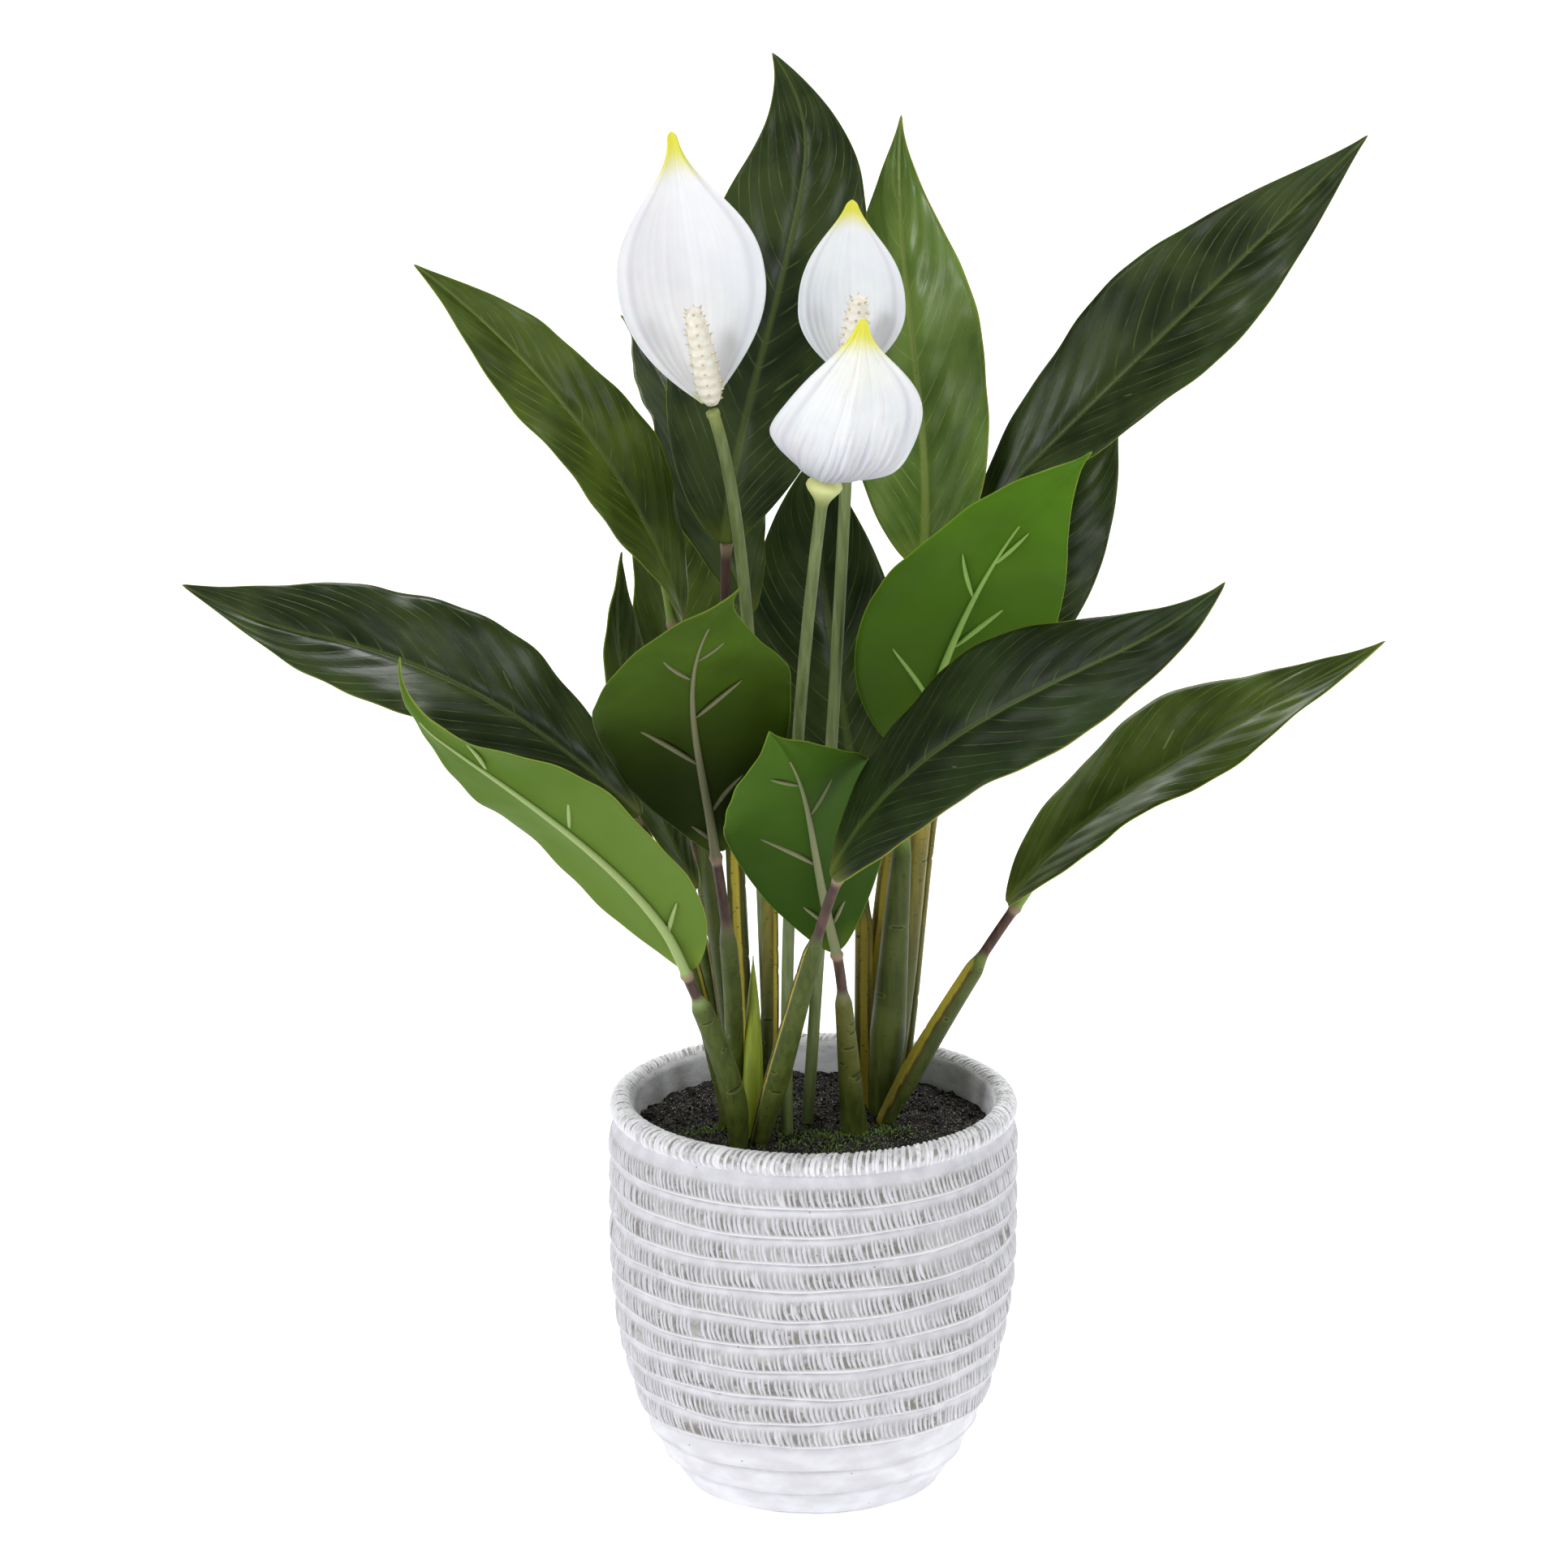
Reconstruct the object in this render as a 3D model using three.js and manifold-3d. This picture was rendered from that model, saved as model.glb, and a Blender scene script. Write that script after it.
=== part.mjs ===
// A potted peace lily in millimetres, +Z up: sixteen leaves, a shoot and three flowers
// in a round pot. The origin is the middle of the pot's underside.
import * as THREE from 'three';
import { mergeVertices } from 'three/addons/utils/BufferGeometryUtils.js';
import Module from 'manifold-3d';

const wasm = await Module();
wasm.setup();

// ---- Driving dimensions ----

const gap = 0.4; // clearance between pieces that touch on the real plant

const pot = {
  footRadius: 42,
  bellyRadius: 75,
  bellyHeight: 100, // the wall stands upright from here to the rim
  rimRadius: 70, // to the middle of the rolled rim
  rimRoll: 4.4,
  rimHeight: 145,
  innerRadius: 65.4,
  wall: 9.5,
  floor: 12,
  ribPitch: 10.6,
  ribTop: 139.5, // the valley under the rolled rim
  ribCount: 13,
  ribDepth: 1.7,
  ribProfile: [[0, 0], [0.3, 0.95], [0.75, 0.9]], // shares of the pitch and of the depth
  ribSway: 2, // the hand-made ribs stand this much higher on the right
  swayPower: 0.6,
  footBevel: 1.5,
  bellyCurve: 2.1, // how soon the wall swells above the foot
  footCurve: 0.714, // how upright it starts
  rimAngles: [-60, -30, 0, 30, 60, 90, 120, 150, 180], // round the rolled rim, from outside
  insideHeights: [139.5, 80, 45, 25, 12],
  segments: 30,
};

const soil = {
  edgeHeight: 136.5,
  moundHeight: 3.6,
  lumpHeight: 0.5,
  lumpWaves: [0.31, 0.27], // radians to the millimetre, along x and y
  lumpShift: 1,
  footDepth: 20, // how deep the stems stand in it
  wallClearance: 0.6, // the facets of the two round walls don't line up
  holeGrowth: 1.04, // a hole's corners reach past the stem's
  holeClearance: 0.52,
  rings: 4,
  segments: 24,
};

const blade = {
  thickness: 0.9,
  rows: 12,
  columns: 4,
  collarHalfWidth: 2.4,
  tipHalfWidth: 0.5,
  footFullness: 0.8, // below 1 the blade is full beside the stalk
  tipTaper: 1.3, // above 1 the blade narrows to a drip tip
  hookStart: 0.75, // share of the blade where the tip starts to hook
  droop: 0.16, // how far the edges sag, as a share of the half width
  wave: 2.2, // how far the edges wave up and down
  waveCount: 2.3,
  wavePhases: [0.6, 2.4], // left and right
};

const stalk = {
  neckRadius: 1.9,
  collarRadius: 2.4,
  collarStart: 0.93, // share of the stalk where the collar begins to swell
  bellyAt: 0.2, // share of the stalk where its sheath is widest
  groove: 0.35, // depth of the sheath's groove as a share of its radius
  ribEndRadius: 0.7,
  ribLength: 0.82, // share of the blade that the raised rib runs under
  sideGap: 3, // the gap under the blade grows by this much towards the edge
  lowHandle: 0.35, // shares of the stalk's reach that its curve's handles take
  highHandle: 0.15,
  sides: 6,
  steps: 8,
};

const sideRib = {
  rootRadius: 1.0,
  tipRadius: 0.5,
  reach: 0.1, // how much further along the blade its tip lies
  spread: 0.46, // how far out its tip lies, as a share of the half width
  sides: 3,
  steps: 2,
  roots: [0.1, 0.26, 0.42, 0.58], // places along the blade, left and right in turn
};

const bract = {
  thickness: 1.2,
  rows: 12,
  columns: 6,
  collarHalfWidth: 2.4,
  tipHalfWidth: 1.3,
  footFullness: 1.15,
  tipTaper: 1.85,
  wave: 0.8,
};
const flowerStem = { radius: 2.2, topRadius: 3, handles: [0.35, 0.7], sides: 6, steps: 10 };
const spadix = {
  footRadius: 3.6,
  tipRadius: 2.5,
  bump: 0.35,
  domeStart: 0.85, // share of the spike where its round tip starts
  tipFlat: 0.06, // the small flat at its very tip
  sides: 8,
  rows: 13,
};

// Each leaf: where its stalk stands, the stalk's radius at the soil, at its widest and at the
// top of its sheath, the share of the stalk that the sheath covers, the blade's rib from collar
// to tip, the way its upper side faces, the half widths left and right of the rib seen from
// above, and the way it folds left and right (degrees), twists (degrees), droops and waves.
const leaves = [
  { name: 'top_centre', tone: 'dark', root: [-24.5, -2.5], girths: [3.6, 3.7, 3], sheath: 0.7,
    rib: [[-32, 10, 356], [-21, 22, 415], [-6, 44, 471], [-3, 66, 525]],
    face: [-0.1, -0.95, 0.3], halves: [33, 32], folds: [13, 13], belly: 0.43, twist: 25,
    tipTaper: 1.1, hook: [-12, 0, 0] },
  { name: 'top_right', tone: 'mid', root: [19, 30], girths: [4.2, 4.8, 4.6], sheath: 0.75,
    rib: [[40, 26, 342], [39, 34, 398], [33, 54, 449], [32, 78, 499]],
    face: [-0.4, -0.9, 0.2], halves: [28, 28], folds: [16, 16], belly: 0.42, twist: 7,
    footFullness: 0.6, tipTaper: 1.6 },
  { name: 'far_right_high', tone: 'dark', root: [27, 22], girths: [4.2, 4.8, 4.6], sheath: 0.75,
    rib: [[60, 22, 362], [107, 26, 410], [152, 32, 454], [200, 38, 501]],
    face: [-0.55, -0.5, 0.65], halves: [27, 26], folds: [25, 25], belly: 0.46, twist: 50 },
  { name: 'back_right', tone: 'dark', root: [31, 33], girths: [3.6, 3.6, 2.8], sheath: 0.7,
    rib: [[52, 32, 285], [73, 42, 323], [93, 58, 361], [112, 78, 396]],
    face: [0, -0.95, 0.25], halves: [30, 22], folds: [10, 10], belly: 0.47, twist: 5 },
  { name: 'far_left_high', tone: 'mid', root: [-25.5, 13], girths: [3.8, 4.2, 4.2], sheath: 0.75,
    rib: [[-48, -6, 331], [-68, -10, 381], [-102, -14, 428], [-143, -18, 467]],
    face: [0.7, -0.25, 0.7], halves: [28, 22], folds: [24, 24], belly: 0.4, twist: -48 },
  { name: 'far_left', tone: 'dark', root: [-31, 4], girths: [3.2, 3.2, 2.4], sheath: 0.7,
    rib: [[-63, -18, 261], [-113, -26, 304], [-166, -36, 331], [-226, -46, 342]],
    face: [0.2, -0.45, 0.9], halves: [28, 25], folds: [22, 22], belly: 0.44, twist: -30, bow: [3, 0, 0],
    hook: [0, 0, 14] },
  { name: 'front_right_high', tone: 'bright', root: [25, 6.5], girths: [4.6, 6.6, 3.2],
    sheath: 0.7, rib: [[36, 5, 277], [52, -23, 333], [72, -65, 382], [97, -112, 423]],
    face: [-0.15, 0.85, 0.5], halves: [31, 34], folds: [2, 2], belly: 0.33, twist: -25,
    tipTaper: 1.4 },
  { name: 'front_left_high', tone: 'bright', root: [-31.5, -8], girths: [3.6, 3.6, 3.2],
    sheath: 0.72, rib: [[-35, -38, 254], [-42, -67, 303], [-42, -103, 344], [-26, -142, 382]],
    face: [0.1, 0.9, 0.45], halves: [35, 35], folds: [9, 9], belly: 0.44, twist: 30, bow: [8, 0, 0],
    tipTaper: 1.4 },
  { name: 'front_centre', tone: 'bright', root: [15, -14.5], girths: [5, 4.4, 3], sheath: 0.7,
    rib: [[8, -31, 214], [0, -47, 257.5], [-5, -72, 289], [-16, -97, 316.5]],
    face: [-0.15, 0.9, 0.4], halves: [31, 31], folds: [20, 20], belly: 0.4, twist: 20 },
  { name: 'front_left_low', tone: 'bright', root: [-27.5, -29.5], girths: [3.5, 4.5, 3.6],
    sheath: 0.78, bow: [8, 0, 0],
    rib: [[-45, -50, 213], [-78, -70, 263], [-123, -92, 305], [-152, -112, 336]],
    face: [0.1, 0.65, 0.75], halves: [27, 26], folds: [20, 34], belly: 0.42, twist: -15,
    tipTaper: 1.7, hook: [6, 0, 12] },
  { name: 'front_right', tone: 'dark', root: [-19.8, -25.5], girths: [3.5, 4.7, 3.4], sheath: 0.74,
    rib: [[6, -70, 255], [44, -82, 305], [95, -88, 337], [145, -92, 364]],
    face: [-0.3, -0.35, 0.9], halves: [30, 25], folds: [6, 6], belly: 0.4, twist: 40,
    hook: [0, 0, 6] },
  { name: 'far_right_low', tone: 'mid', root: [26, -4], girths: [3.5, 4.6, 3.6], sheath: 0.68,
    bow: [-3, 0, 0], rib: [[71, -6, 224], [110, -10, 265], [157, -14, 297], [206, -18, 327]],
    face: [-0.35, -0.3, 0.9], halves: [27, 27], folds: [22, 22], belly: 0.44, twist: 15,
    tipTaper: 1.5 },
  { name: 'small_left', tone: 'mid', root: [-32, 20], girths: [3, 3, 2.6], sheath: 0.7,
    rib: [[-43, 10, 224.5], [-60, 12, 263.5], [-70, 18, 305.5], [-70, 32, 346.5]],
    face: [0.95, -0.3, 0.1], halves: [18, 18], folds: [19, 19], belly: 0.43, twist: -15 },
  { name: 'back_left_low', tone: 'mid', root: [-22, 24], girths: [3.2, 3.2, 2.6], sheath: 0.7,
    rib: [[-43, 34, 247], [-47, 56, 295], [-52, 90, 338], [-57, 126, 377]],
    face: [0.6, -0.6, 0.5], halves: [26, 26], folds: [18, 18], belly: 0.43 },
  { name: 'back_left_high', tone: 'dark', root: [-17, -11], girths: [3.3, 3.3, 2.5],
    sheath: 0.45, rib: [[-23, 28, 324], [-39, 46, 362], [-53, 74, 393], [-71, 104, 417]],
    face: [0.65, -0.4, 0.6], halves: [27, 27], folds: [19, 19], belly: 0.4, twist: 6, bow: [5, -14, 0] },
  { name: 'back_centre', tone: 'dark', root: [19, 17], girths: [3.6, 3.7, 3.2], sheath: 0.6,
    rib: [[17, 28, 248], [10, 40, 289], [3, 54, 336], [2, 76, 373]],
    face: [0, -0.95, 0.3], halves: [29, 24.5], folds: [13, 13], belly: 0.46 },
];

// Each flower: where its stem stands, the stem's top, the bract's rib from base to tip, the way
// the bract's hollow side faces, its half widths, how deeply it cups, and the spadix's own tip.
const flowers = [
  { name: 'left', root: [-15.5, 8], top: [-36.5, -15, 412], bow: [3, 4, 0],
    rib: [[-38, -10, 414], [-43, -6, 445], [-47, -5, 480], [-51, -12, 514]],
    face: [0.05, -1, 0.2], halves: [24.5, 25], cup: 0.3, belly: 0.4, spadixTip: [-43.5, -24, 453] },
  { name: 'back', root: [-2.2, -5.5], top: [13, -13, 420], bow: [1, 0, 0],
    rib: [[13, -8.5, 423], [13, -5, 443], [13, -3, 466], [13.6, -8, 488]],
    face: [0.05, -1, 0.3], halves: [18, 18.5], cup: 0.3, belly: 0.4, tipTaper: 1.6,
    spadixTip: [16, -20, 456] },
  { name: 'front', root: [-9.6, -17], top: [4, -40, 386], bow: [-6, 0, 0],
    rib: [[4, -45.5, 389], [9, -71, 404], [14, -78, 429], [17, -104, 468]],
    face: [-0.1, 1, 0.25], halves: [30.5, 22.5], cup: 0.8, belly: 0.4, footFullness: 0.55,
    tipTaper: 1.8, spadixTip: [10, -52, 424] },
];

// The shoot swells above the soil and then tapers to its tip.
const shoot = {
  root: [-22, -18],
  height: 68,
  radius: 3.9,
  footShare: 0.85,
  swell: 1,
  taper: 1.85,
  tipShare: 0.1,
  sides: 6,
  steps: 5,
};

const colours = {
  pot: 0xe6e6ea,
  soil: 0x2a2624,
  dark: 0x2f4a22,
  mid: 0x4a6b2c,
  bright: 0x4a8028,
  stalk: 0x5c6b2a,
  shoot: 0xa0ae20,
  stem: 0x7d8f5a,
  bract: 0xf2f3f8,
  spadix: 0xefe6c8,
};

const roughness = { plant: 0.5, pot: 0.8, soil: 0.95 };
const weldDistance = 1e-4;

// ---- Shared shapes ----

const vec = (p) => new THREE.Vector3(...p);
const mix = THREE.MathUtils.lerp;
const radians = THREE.MathUtils.degToRad;

// Joins a row of closed rings, all with the same even number of points, into one closed body.
function loft(rings) {
  const size = rings[0].length;
  const positions = rings.flat().flatMap((p) => p.toArray());
  const faces = [];
  for (let row = 0; row + 1 < rings.length; row++) {
    for (let i = 0; i < size; i++) {
      const j = (i + 1) % size;
      const [a, b] = [row * size + i, row * size + j];
      faces.push(a, b, b + size, a, b + size, a + size);
    }
  }
  const last = (rings.length - 1) * size;
  for (let i = 0; i < size / 2 - 1; i++) {
    const [a, b, c, d] = [i, i + 1, size - 2 - i, size - 1 - i];
    faces.push(a, c, b, a, d, c);
    faces.push(last + a, last + b, last + c, last + a, last + c, last + d);
  }
  const geometry = new THREE.BufferGeometry();
  geometry.setAttribute('position', new THREE.Float32BufferAttribute(positions, 3));
  geometry.setIndex(faces);
  return geometry;
}

// A tube through the given places. Each place has a point, a radius, an up direction for the
// ring's first corner, and a dent that pulls that corner in as a groove.
function tube(places, sides) {
  return loft(places.map((place, i) => {
    const before = places[Math.max(i - 1, 0)].point;
    const after = places[Math.min(i + 1, places.length - 1)].point;
    const along = after.clone().sub(before).normalize();
    const up = place.up.clone().addScaledVector(along, -place.up.dot(along)).normalize();
    const side = along.clone().cross(up);
    return Array.from({ length: sides }, (_, k) => {
      const angle = (2 * Math.PI * k) / sides;
      const radius = place.radius * (k === 0 ? 1 - (place.dent ?? 0) : 1);
      return place.point.clone()
        .addScaledVector(up, radius * Math.cos(angle))
        .addScaledVector(side, radius * Math.sin(angle));
    });
  }));
}

const solidOf = (geometry) => {
  const bare = new THREE.BufferGeometry();
  bare.setAttribute('position', geometry.getAttribute('position'));
  bare.setIndex(geometry.index);
  const merged = mergeVertices(bare, weldDistance);
  return new wasm.Manifold(new wasm.Mesh({
    numProp: 3,
    vertProperties: new Float32Array(merged.getAttribute('position').array),
    triVerts: new Uint32Array(merged.index.array),
  }));
};

function geometryOf(solid) {
  const mesh = solid.getMesh();
  const geometry = new THREE.BufferGeometry();
  geometry.setAttribute('position', new THREE.BufferAttribute(mesh.vertProperties, 3));
  geometry.setIndex(new THREE.BufferAttribute(mesh.triVerts, 1));
  return geometry;
}

function node(name, geometry, colour, rough = roughness.plant) {
  geometry.computeVertexNormals();
  const material = new THREE.MeshStandardMaterial({ color: colour, roughness: rough, metalness: 0 });
  const mesh = new THREE.Mesh(geometry, material);
  mesh.name = name;
  return mesh;
}

// A smooth curve that passes through four points at equal steps.
function ribCurve(points) {
  const [a, b, c, d] = points.map(vec);
  const handle = (near, mid, far, end) => near.clone().multiplyScalar(-5 / 6)
    .addScaledVector(mid, 3).addScaledVector(far, -3 / 2).addScaledVector(end, 1 / 3);
  return new THREE.CubicBezierCurve3(a, handle(a, b, c, d), handle(d, c, b, a), d);
}

// The blade's own frame at a share t of its length: the rib's point, the way along it, the way
// the upper side faces, and the way to the right seen from above.
function bladeFrame(leaf, t) {
  const curve = ribCurve(leaf.rib);
  const point = curve.getPoint(t);
  const hook = Math.max(0, (t - blade.hookStart) / (1 - blade.hookStart)) ** 2;
  point.addScaledVector(vec(leaf.hook ?? [0, 0, 0]), hook);
  const along = curve.getTangent(t);
  const up = vec(leaf.face);
  up.addScaledVector(along, -up.dot(along)).normalize();
  up.applyAxisAngle(along, radians(leaf.twist ?? 0) * t);
  return { point, along, up, right: along.clone().cross(up) };
}

// How wide the blade is at t, from 0 at both ends to 1 at its belly.
function outline(t, belly, fullness, taper) {
  if (t < belly) return (1 - (1 - t / belly) ** 2) ** fullness;
  return (1 - ((t - belly) / (1 - belly)) ** 2) ** taper;
}

// The point of the blade's middle surface at t along it and v across it, from -1 to 1.
function bladePoint(leaf, t, v) {
  const { point, up, right } = bladeFrame(leaf, t);
  const form = { ...blade, ...leaf };
  const side = v < 0 ? 0 : 1;
  const least = mix(form.collarHalfWidth, form.tipHalfWidth, t);
  const half = least + leaf.halves[side] * outline(t, leaf.belly, form.footFullness, form.tipTaper);
  const fold = radians(leaf.folds[side]);
  const wave = form.wave * Math.sin(Math.PI * t)
    * Math.sin(2 * Math.PI * form.waveCount * t + form.wavePhases[side]);
  const lift = half * (Math.sin(fold) * Math.abs(v) - form.droop * v * v) + wave * v * v;
  return point.addScaledVector(right, half * v * Math.cos(fold)).addScaledVector(up, lift);
}

// A thin waved shell with the same triangles on both faces.
function shell(leaf, rows, columns, thickness) {
  const rings = [];
  for (let row = 0; row <= rows; row++) {
    const t = row / rows;
    const { up } = bladeFrame(leaf, t);
    const across = Array.from({ length: columns + 1 }, (_, i) => (2 * i) / columns - 1);
    const middle = across.map((v) => bladePoint(leaf, t, v));
    const top = middle.map((p) => p.clone().addScaledVector(up, thickness / 2));
    const under = middle.map((p) => p.clone().addScaledVector(up, -thickness / 2));
    rings.push([...top, ...under.reverse()]);
  }
  return loft(rings);
}

// ---- Leaves ----

const ribRadius = (t) => mix(stalk.neckRadius, stalk.ribEndRadius, t / stalk.ribLength);

// A place just under the blade, for a rod of the given radius. It keeps further away where the
// blade slopes up beside the rib.
function underBlade(leaf, t, v, radius) {
  const { up } = bladeFrame(leaf, t);
  const drop = blade.thickness / 2 + gap * (1 + stalk.sideGap * Math.abs(v)) + radius;
  return { point: bladePoint(leaf, t, v).addScaledVector(up, -drop), up, radius };
}

// The stalk's radius at a share u of its length: a sheath, then a slim neck and a collar.
function stalkRadius(leaf, u) {
  const [foot, belly, top] = leaf.girths;
  if (u < stalk.bellyAt) return mix(foot, belly, u / stalk.bellyAt);
  const rise = (u - stalk.bellyAt) / (leaf.sheath - stalk.bellyAt);
  if (rise <= 1) return mix(belly, top, rise);
  return u > stalk.collarStart ? stalk.collarRadius : stalk.neckRadius;
}

// Places along a stem: its upright foot in the soil, then equal steps up the curve.
function stemPlaces(curve, steps, up, shapeAt) {
  const foot = curve.getPoint(0).add(new THREE.Vector3(0, 0, -soil.footDepth));
  const places = [{ point: foot, up, ...shapeAt(0) }];
  for (let i = 0; i <= steps; i++) {
    places.push({ point: curve.getPoint(i / steps), up, ...shapeAt(i / steps) });
  }
  return places;
}

// Where a stem comes out of the soil.
const soilPoint = ([x, y]) => new THREE.Vector3(x, y, soilHeight(x, y) + gap);

function stalkPlaces(leaf) {
  const { along, up } = bladeFrame(leaf, 0);
  const collar = underBlade(leaf, 0, 0, stalk.collarRadius).point;
  const root = soilPoint(leaf.root);
  const reach = collar.clone().sub(root);
  const bow = vec(leaf.bow ?? [0, 0, 0]);
  const low = root.clone().addScaledVector(reach, stalk.lowHandle).add(bow);
  const high = collar.clone().addScaledVector(along, -stalk.highHandle * reach.length());
  const curve = new THREE.CubicBezierCurve3(root, low, high, collar);
  return stemPlaces(curve, stalk.steps, up, (u) => ({
    radius: stalkRadius(leaf, u),
    dent: u < leaf.sheath ? stalk.groove : 0,
  }));
}

function stalkSolid(leaf) {
  const places = stalkPlaces(leaf);
  const ribSteps = Math.round(blade.rows * stalk.ribLength);
  for (let i = 1; i <= ribSteps; i++) {
    const t = i / blade.rows;
    places.push(underBlade(leaf, t, 0, ribRadius(t)));
  }
  let solid = solidOf(tube(places, stalk.sides));
  sideRib.roots.forEach((root, i) => {
    const v = i % 2 ? sideRib.spread : -sideRib.spread;
    const twig = [];
    for (let k = 0; k <= sideRib.steps; k++) {
      const s = k / sideRib.steps;
      const radius = mix(sideRib.rootRadius, sideRib.tipRadius, s);
      twig.push(underBlade(leaf, root + sideRib.reach * s, v * s, radius));
    }
    solid = solid.add(solidOf(tube(twig, sideRib.sides)));
  });
  return solid;
}

// ---- Flowers ----

function flowerStemPlaces(flower) {
  const root = soilPoint(flower.root);
  const top = vec(flower.top);
  const bow = vec(flower.bow);
  const handles = flowerStem.handles.map((share) => root.clone().lerp(top, share).add(bow));
  const curve = new THREE.CubicBezierCurve3(root, ...handles, top);
  return stemPlaces(curve, flowerStem.steps, new THREE.Vector3(0, -1, 0), (u) => ({
    radius: u === 1 ? flowerStem.topRadius : flowerStem.radius,
  }));
}

// A bract is a blade without a fold whose edges cup upwards.
function bractLeaf(flower) {
  return {
    ...bract,
    ...flower,
    folds: [0, 0],
    droop: -flower.cup,
  };
}

// The knobbly spike: rings that swell and shrink in turn along a spiral, round at the tip.
function spadixGeometry(flower) {
  const foot = vec(flower.top).add(new THREE.Vector3(0, 0, flowerStem.topRadius));
  const tip = vec(flower.spadixTip);
  const along = tip.clone().sub(foot).normalize();
  const up = new THREE.Vector3(1, 0, 0).addScaledVector(along, -along.x).normalize();
  const side = along.clone().cross(up);
  const rings = [];
  for (let row = 0; row <= spadix.rows; row++) {
    const s = row / spadix.rows;
    const share = Math.max(0, (s - spadix.domeStart) / (1 - spadix.domeStart));
    const dome = Math.sqrt(Math.max(spadix.tipFlat, 1 - share ** 2));
    rings.push(Array.from({ length: spadix.sides }, (_, k) => {
      const angle = (2 * Math.PI * k) / spadix.sides;
      const bump = spadix.bump * Math.cos(Math.PI * (row + k));
      const radius = (mix(spadix.footRadius, spadix.tipRadius, s) + bump) * dome;
      return foot.clone().lerp(tip, s)
        .addScaledVector(up, radius * Math.cos(angle))
        .addScaledVector(side, radius * Math.sin(angle));
    }));
  }
  return loft(rings);
}

// ---- Shoot, pot and soil ----

function shootPlaces() {
  const base = soilPoint(shoot.root);
  const tip = base.clone().add(new THREE.Vector3(0, 0, shoot.height));
  const curve = new THREE.LineCurve3(base, tip);
  return stemPlaces(curve, shoot.steps, new THREE.Vector3(0, -1, 0), (u) => {
    const girth = shoot.footShare + shoot.swell * u - shoot.taper * u * u;
    return { radius: shoot.radius * Math.max(shoot.tipShare, girth) };
  });
}

// The pot's outer radius without its ribs: a swelling curve up to the belly, then upright.
function wallRadius(z) {
  const rise = Math.min(z / pot.bellyHeight, 1);
  const swell = (1 - (1 - rise) ** pot.bellyCurve) ** pot.footCurve;
  return mix(pot.footRadius, pot.bellyRadius, swell);
}

const insideRadius = (z) => Math.min(pot.innerRadius, wallRadius(z) - pot.wall);

function potGeometry() {
  const profile = [
    new THREE.Vector2(0, 0),
    new THREE.Vector2(pot.footRadius - pot.footBevel, 0),
  ];
  for (let rib = pot.ribCount; rib >= 1; rib--) {
    const low = pot.ribTop - rib * pot.ribPitch;
    for (const [share, out] of pot.ribProfile) {
      const z = low + share * pot.ribPitch;
      profile.push(new THREE.Vector2(wallRadius(z) + (out - 1) * pot.ribDepth, z));
    }
  }
  const outside = profile.length;
  for (const degrees of pot.rimAngles) {
    profile.push(new THREE.Vector2(
      pot.rimRadius + pot.rimRoll * Math.cos(radians(degrees)),
      pot.rimHeight + pot.rimRoll * Math.sin(radians(degrees)),
    ));
  }
  for (const z of pot.insideHeights) {
    profile.push(new THREE.Vector2(insideRadius(z), z));
  }
  profile.push(new THREE.Vector2(0, pot.floor));
  const geometry = new THREE.LatheGeometry(profile, pot.segments);
  geometry.rotateX(Math.PI / 2);
  const position = geometry.getAttribute('position');
  for (let i = 0; i < position.count; i++) {
    if (i % profile.length >= outside) continue;
    const [x, z] = [position.getX(i), position.getZ(i)];
    const swell = Math.max(0, Math.sin((Math.PI * z) / pot.ribTop)) ** pot.swayPower;
    position.setZ(i, z + pot.ribSway * swell * (x / pot.bellyRadius));
  }
  return geometry;
}

const soilHeight = (x, y) => {
  const share = Math.hypot(x, y) / pot.innerRadius;
  const [alongX, alongY] = soil.lumpWaves;
  const lumps = Math.sin(x * alongX + soil.lumpShift) * Math.cos(y * alongY);
  return soil.edgeHeight + soil.moundHeight * (1 - share * share) + soil.lumpHeight * lumps;
};

function soilGeometry() {
  const profile = [new THREE.Vector2(0, pot.floor + gap)];
  for (const z of pot.insideHeights.toReversed()) {
    const height = Math.min(Math.max(z, pot.floor + gap), soil.edgeHeight);
    profile.push(new THREE.Vector2(insideRadius(z) - soil.wallClearance, height));
  }
  const edge = profile.at(-1);
  for (let i = soil.rings - 1; i >= 0; i--) {
    profile.push(new THREE.Vector2((edge.x * i) / soil.rings, edge.y));
  }
  const geometry = new THREE.LatheGeometry(profile, soil.segments);
  geometry.rotateX(Math.PI / 2);
  const position = geometry.getAttribute('position');
  for (let i = 0; i < position.count; i++) {
    const [x, y, z] = [position.getX(i), position.getY(i), position.getZ(i)];
    if (z > soil.edgeHeight - 1) position.setZ(i, soilHeight(x, y));
  }
  return geometry;
}

// A plain blind hole round the foot of a stem, a little deeper than the foot.
function hole([foot, mouth], sides) {
  const ends = [[foot, -soil.holeClearance], [mouth, soil.moundHeight]].map(([place, shift]) => ({
    point: place.point.clone().add(new THREE.Vector3(0, 0, shift)),
    radius: foot.radius * soil.holeGrowth + soil.holeClearance,
    up: foot.up,
  }));
  return solidOf(tube(ends, sides));
}

// ---- The whole plant ----

const plant = new THREE.Group();
plant.name = 'potted_peace_lily';
plant.add(node('pot', potGeometry(), colours.pot, roughness.pot));

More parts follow.
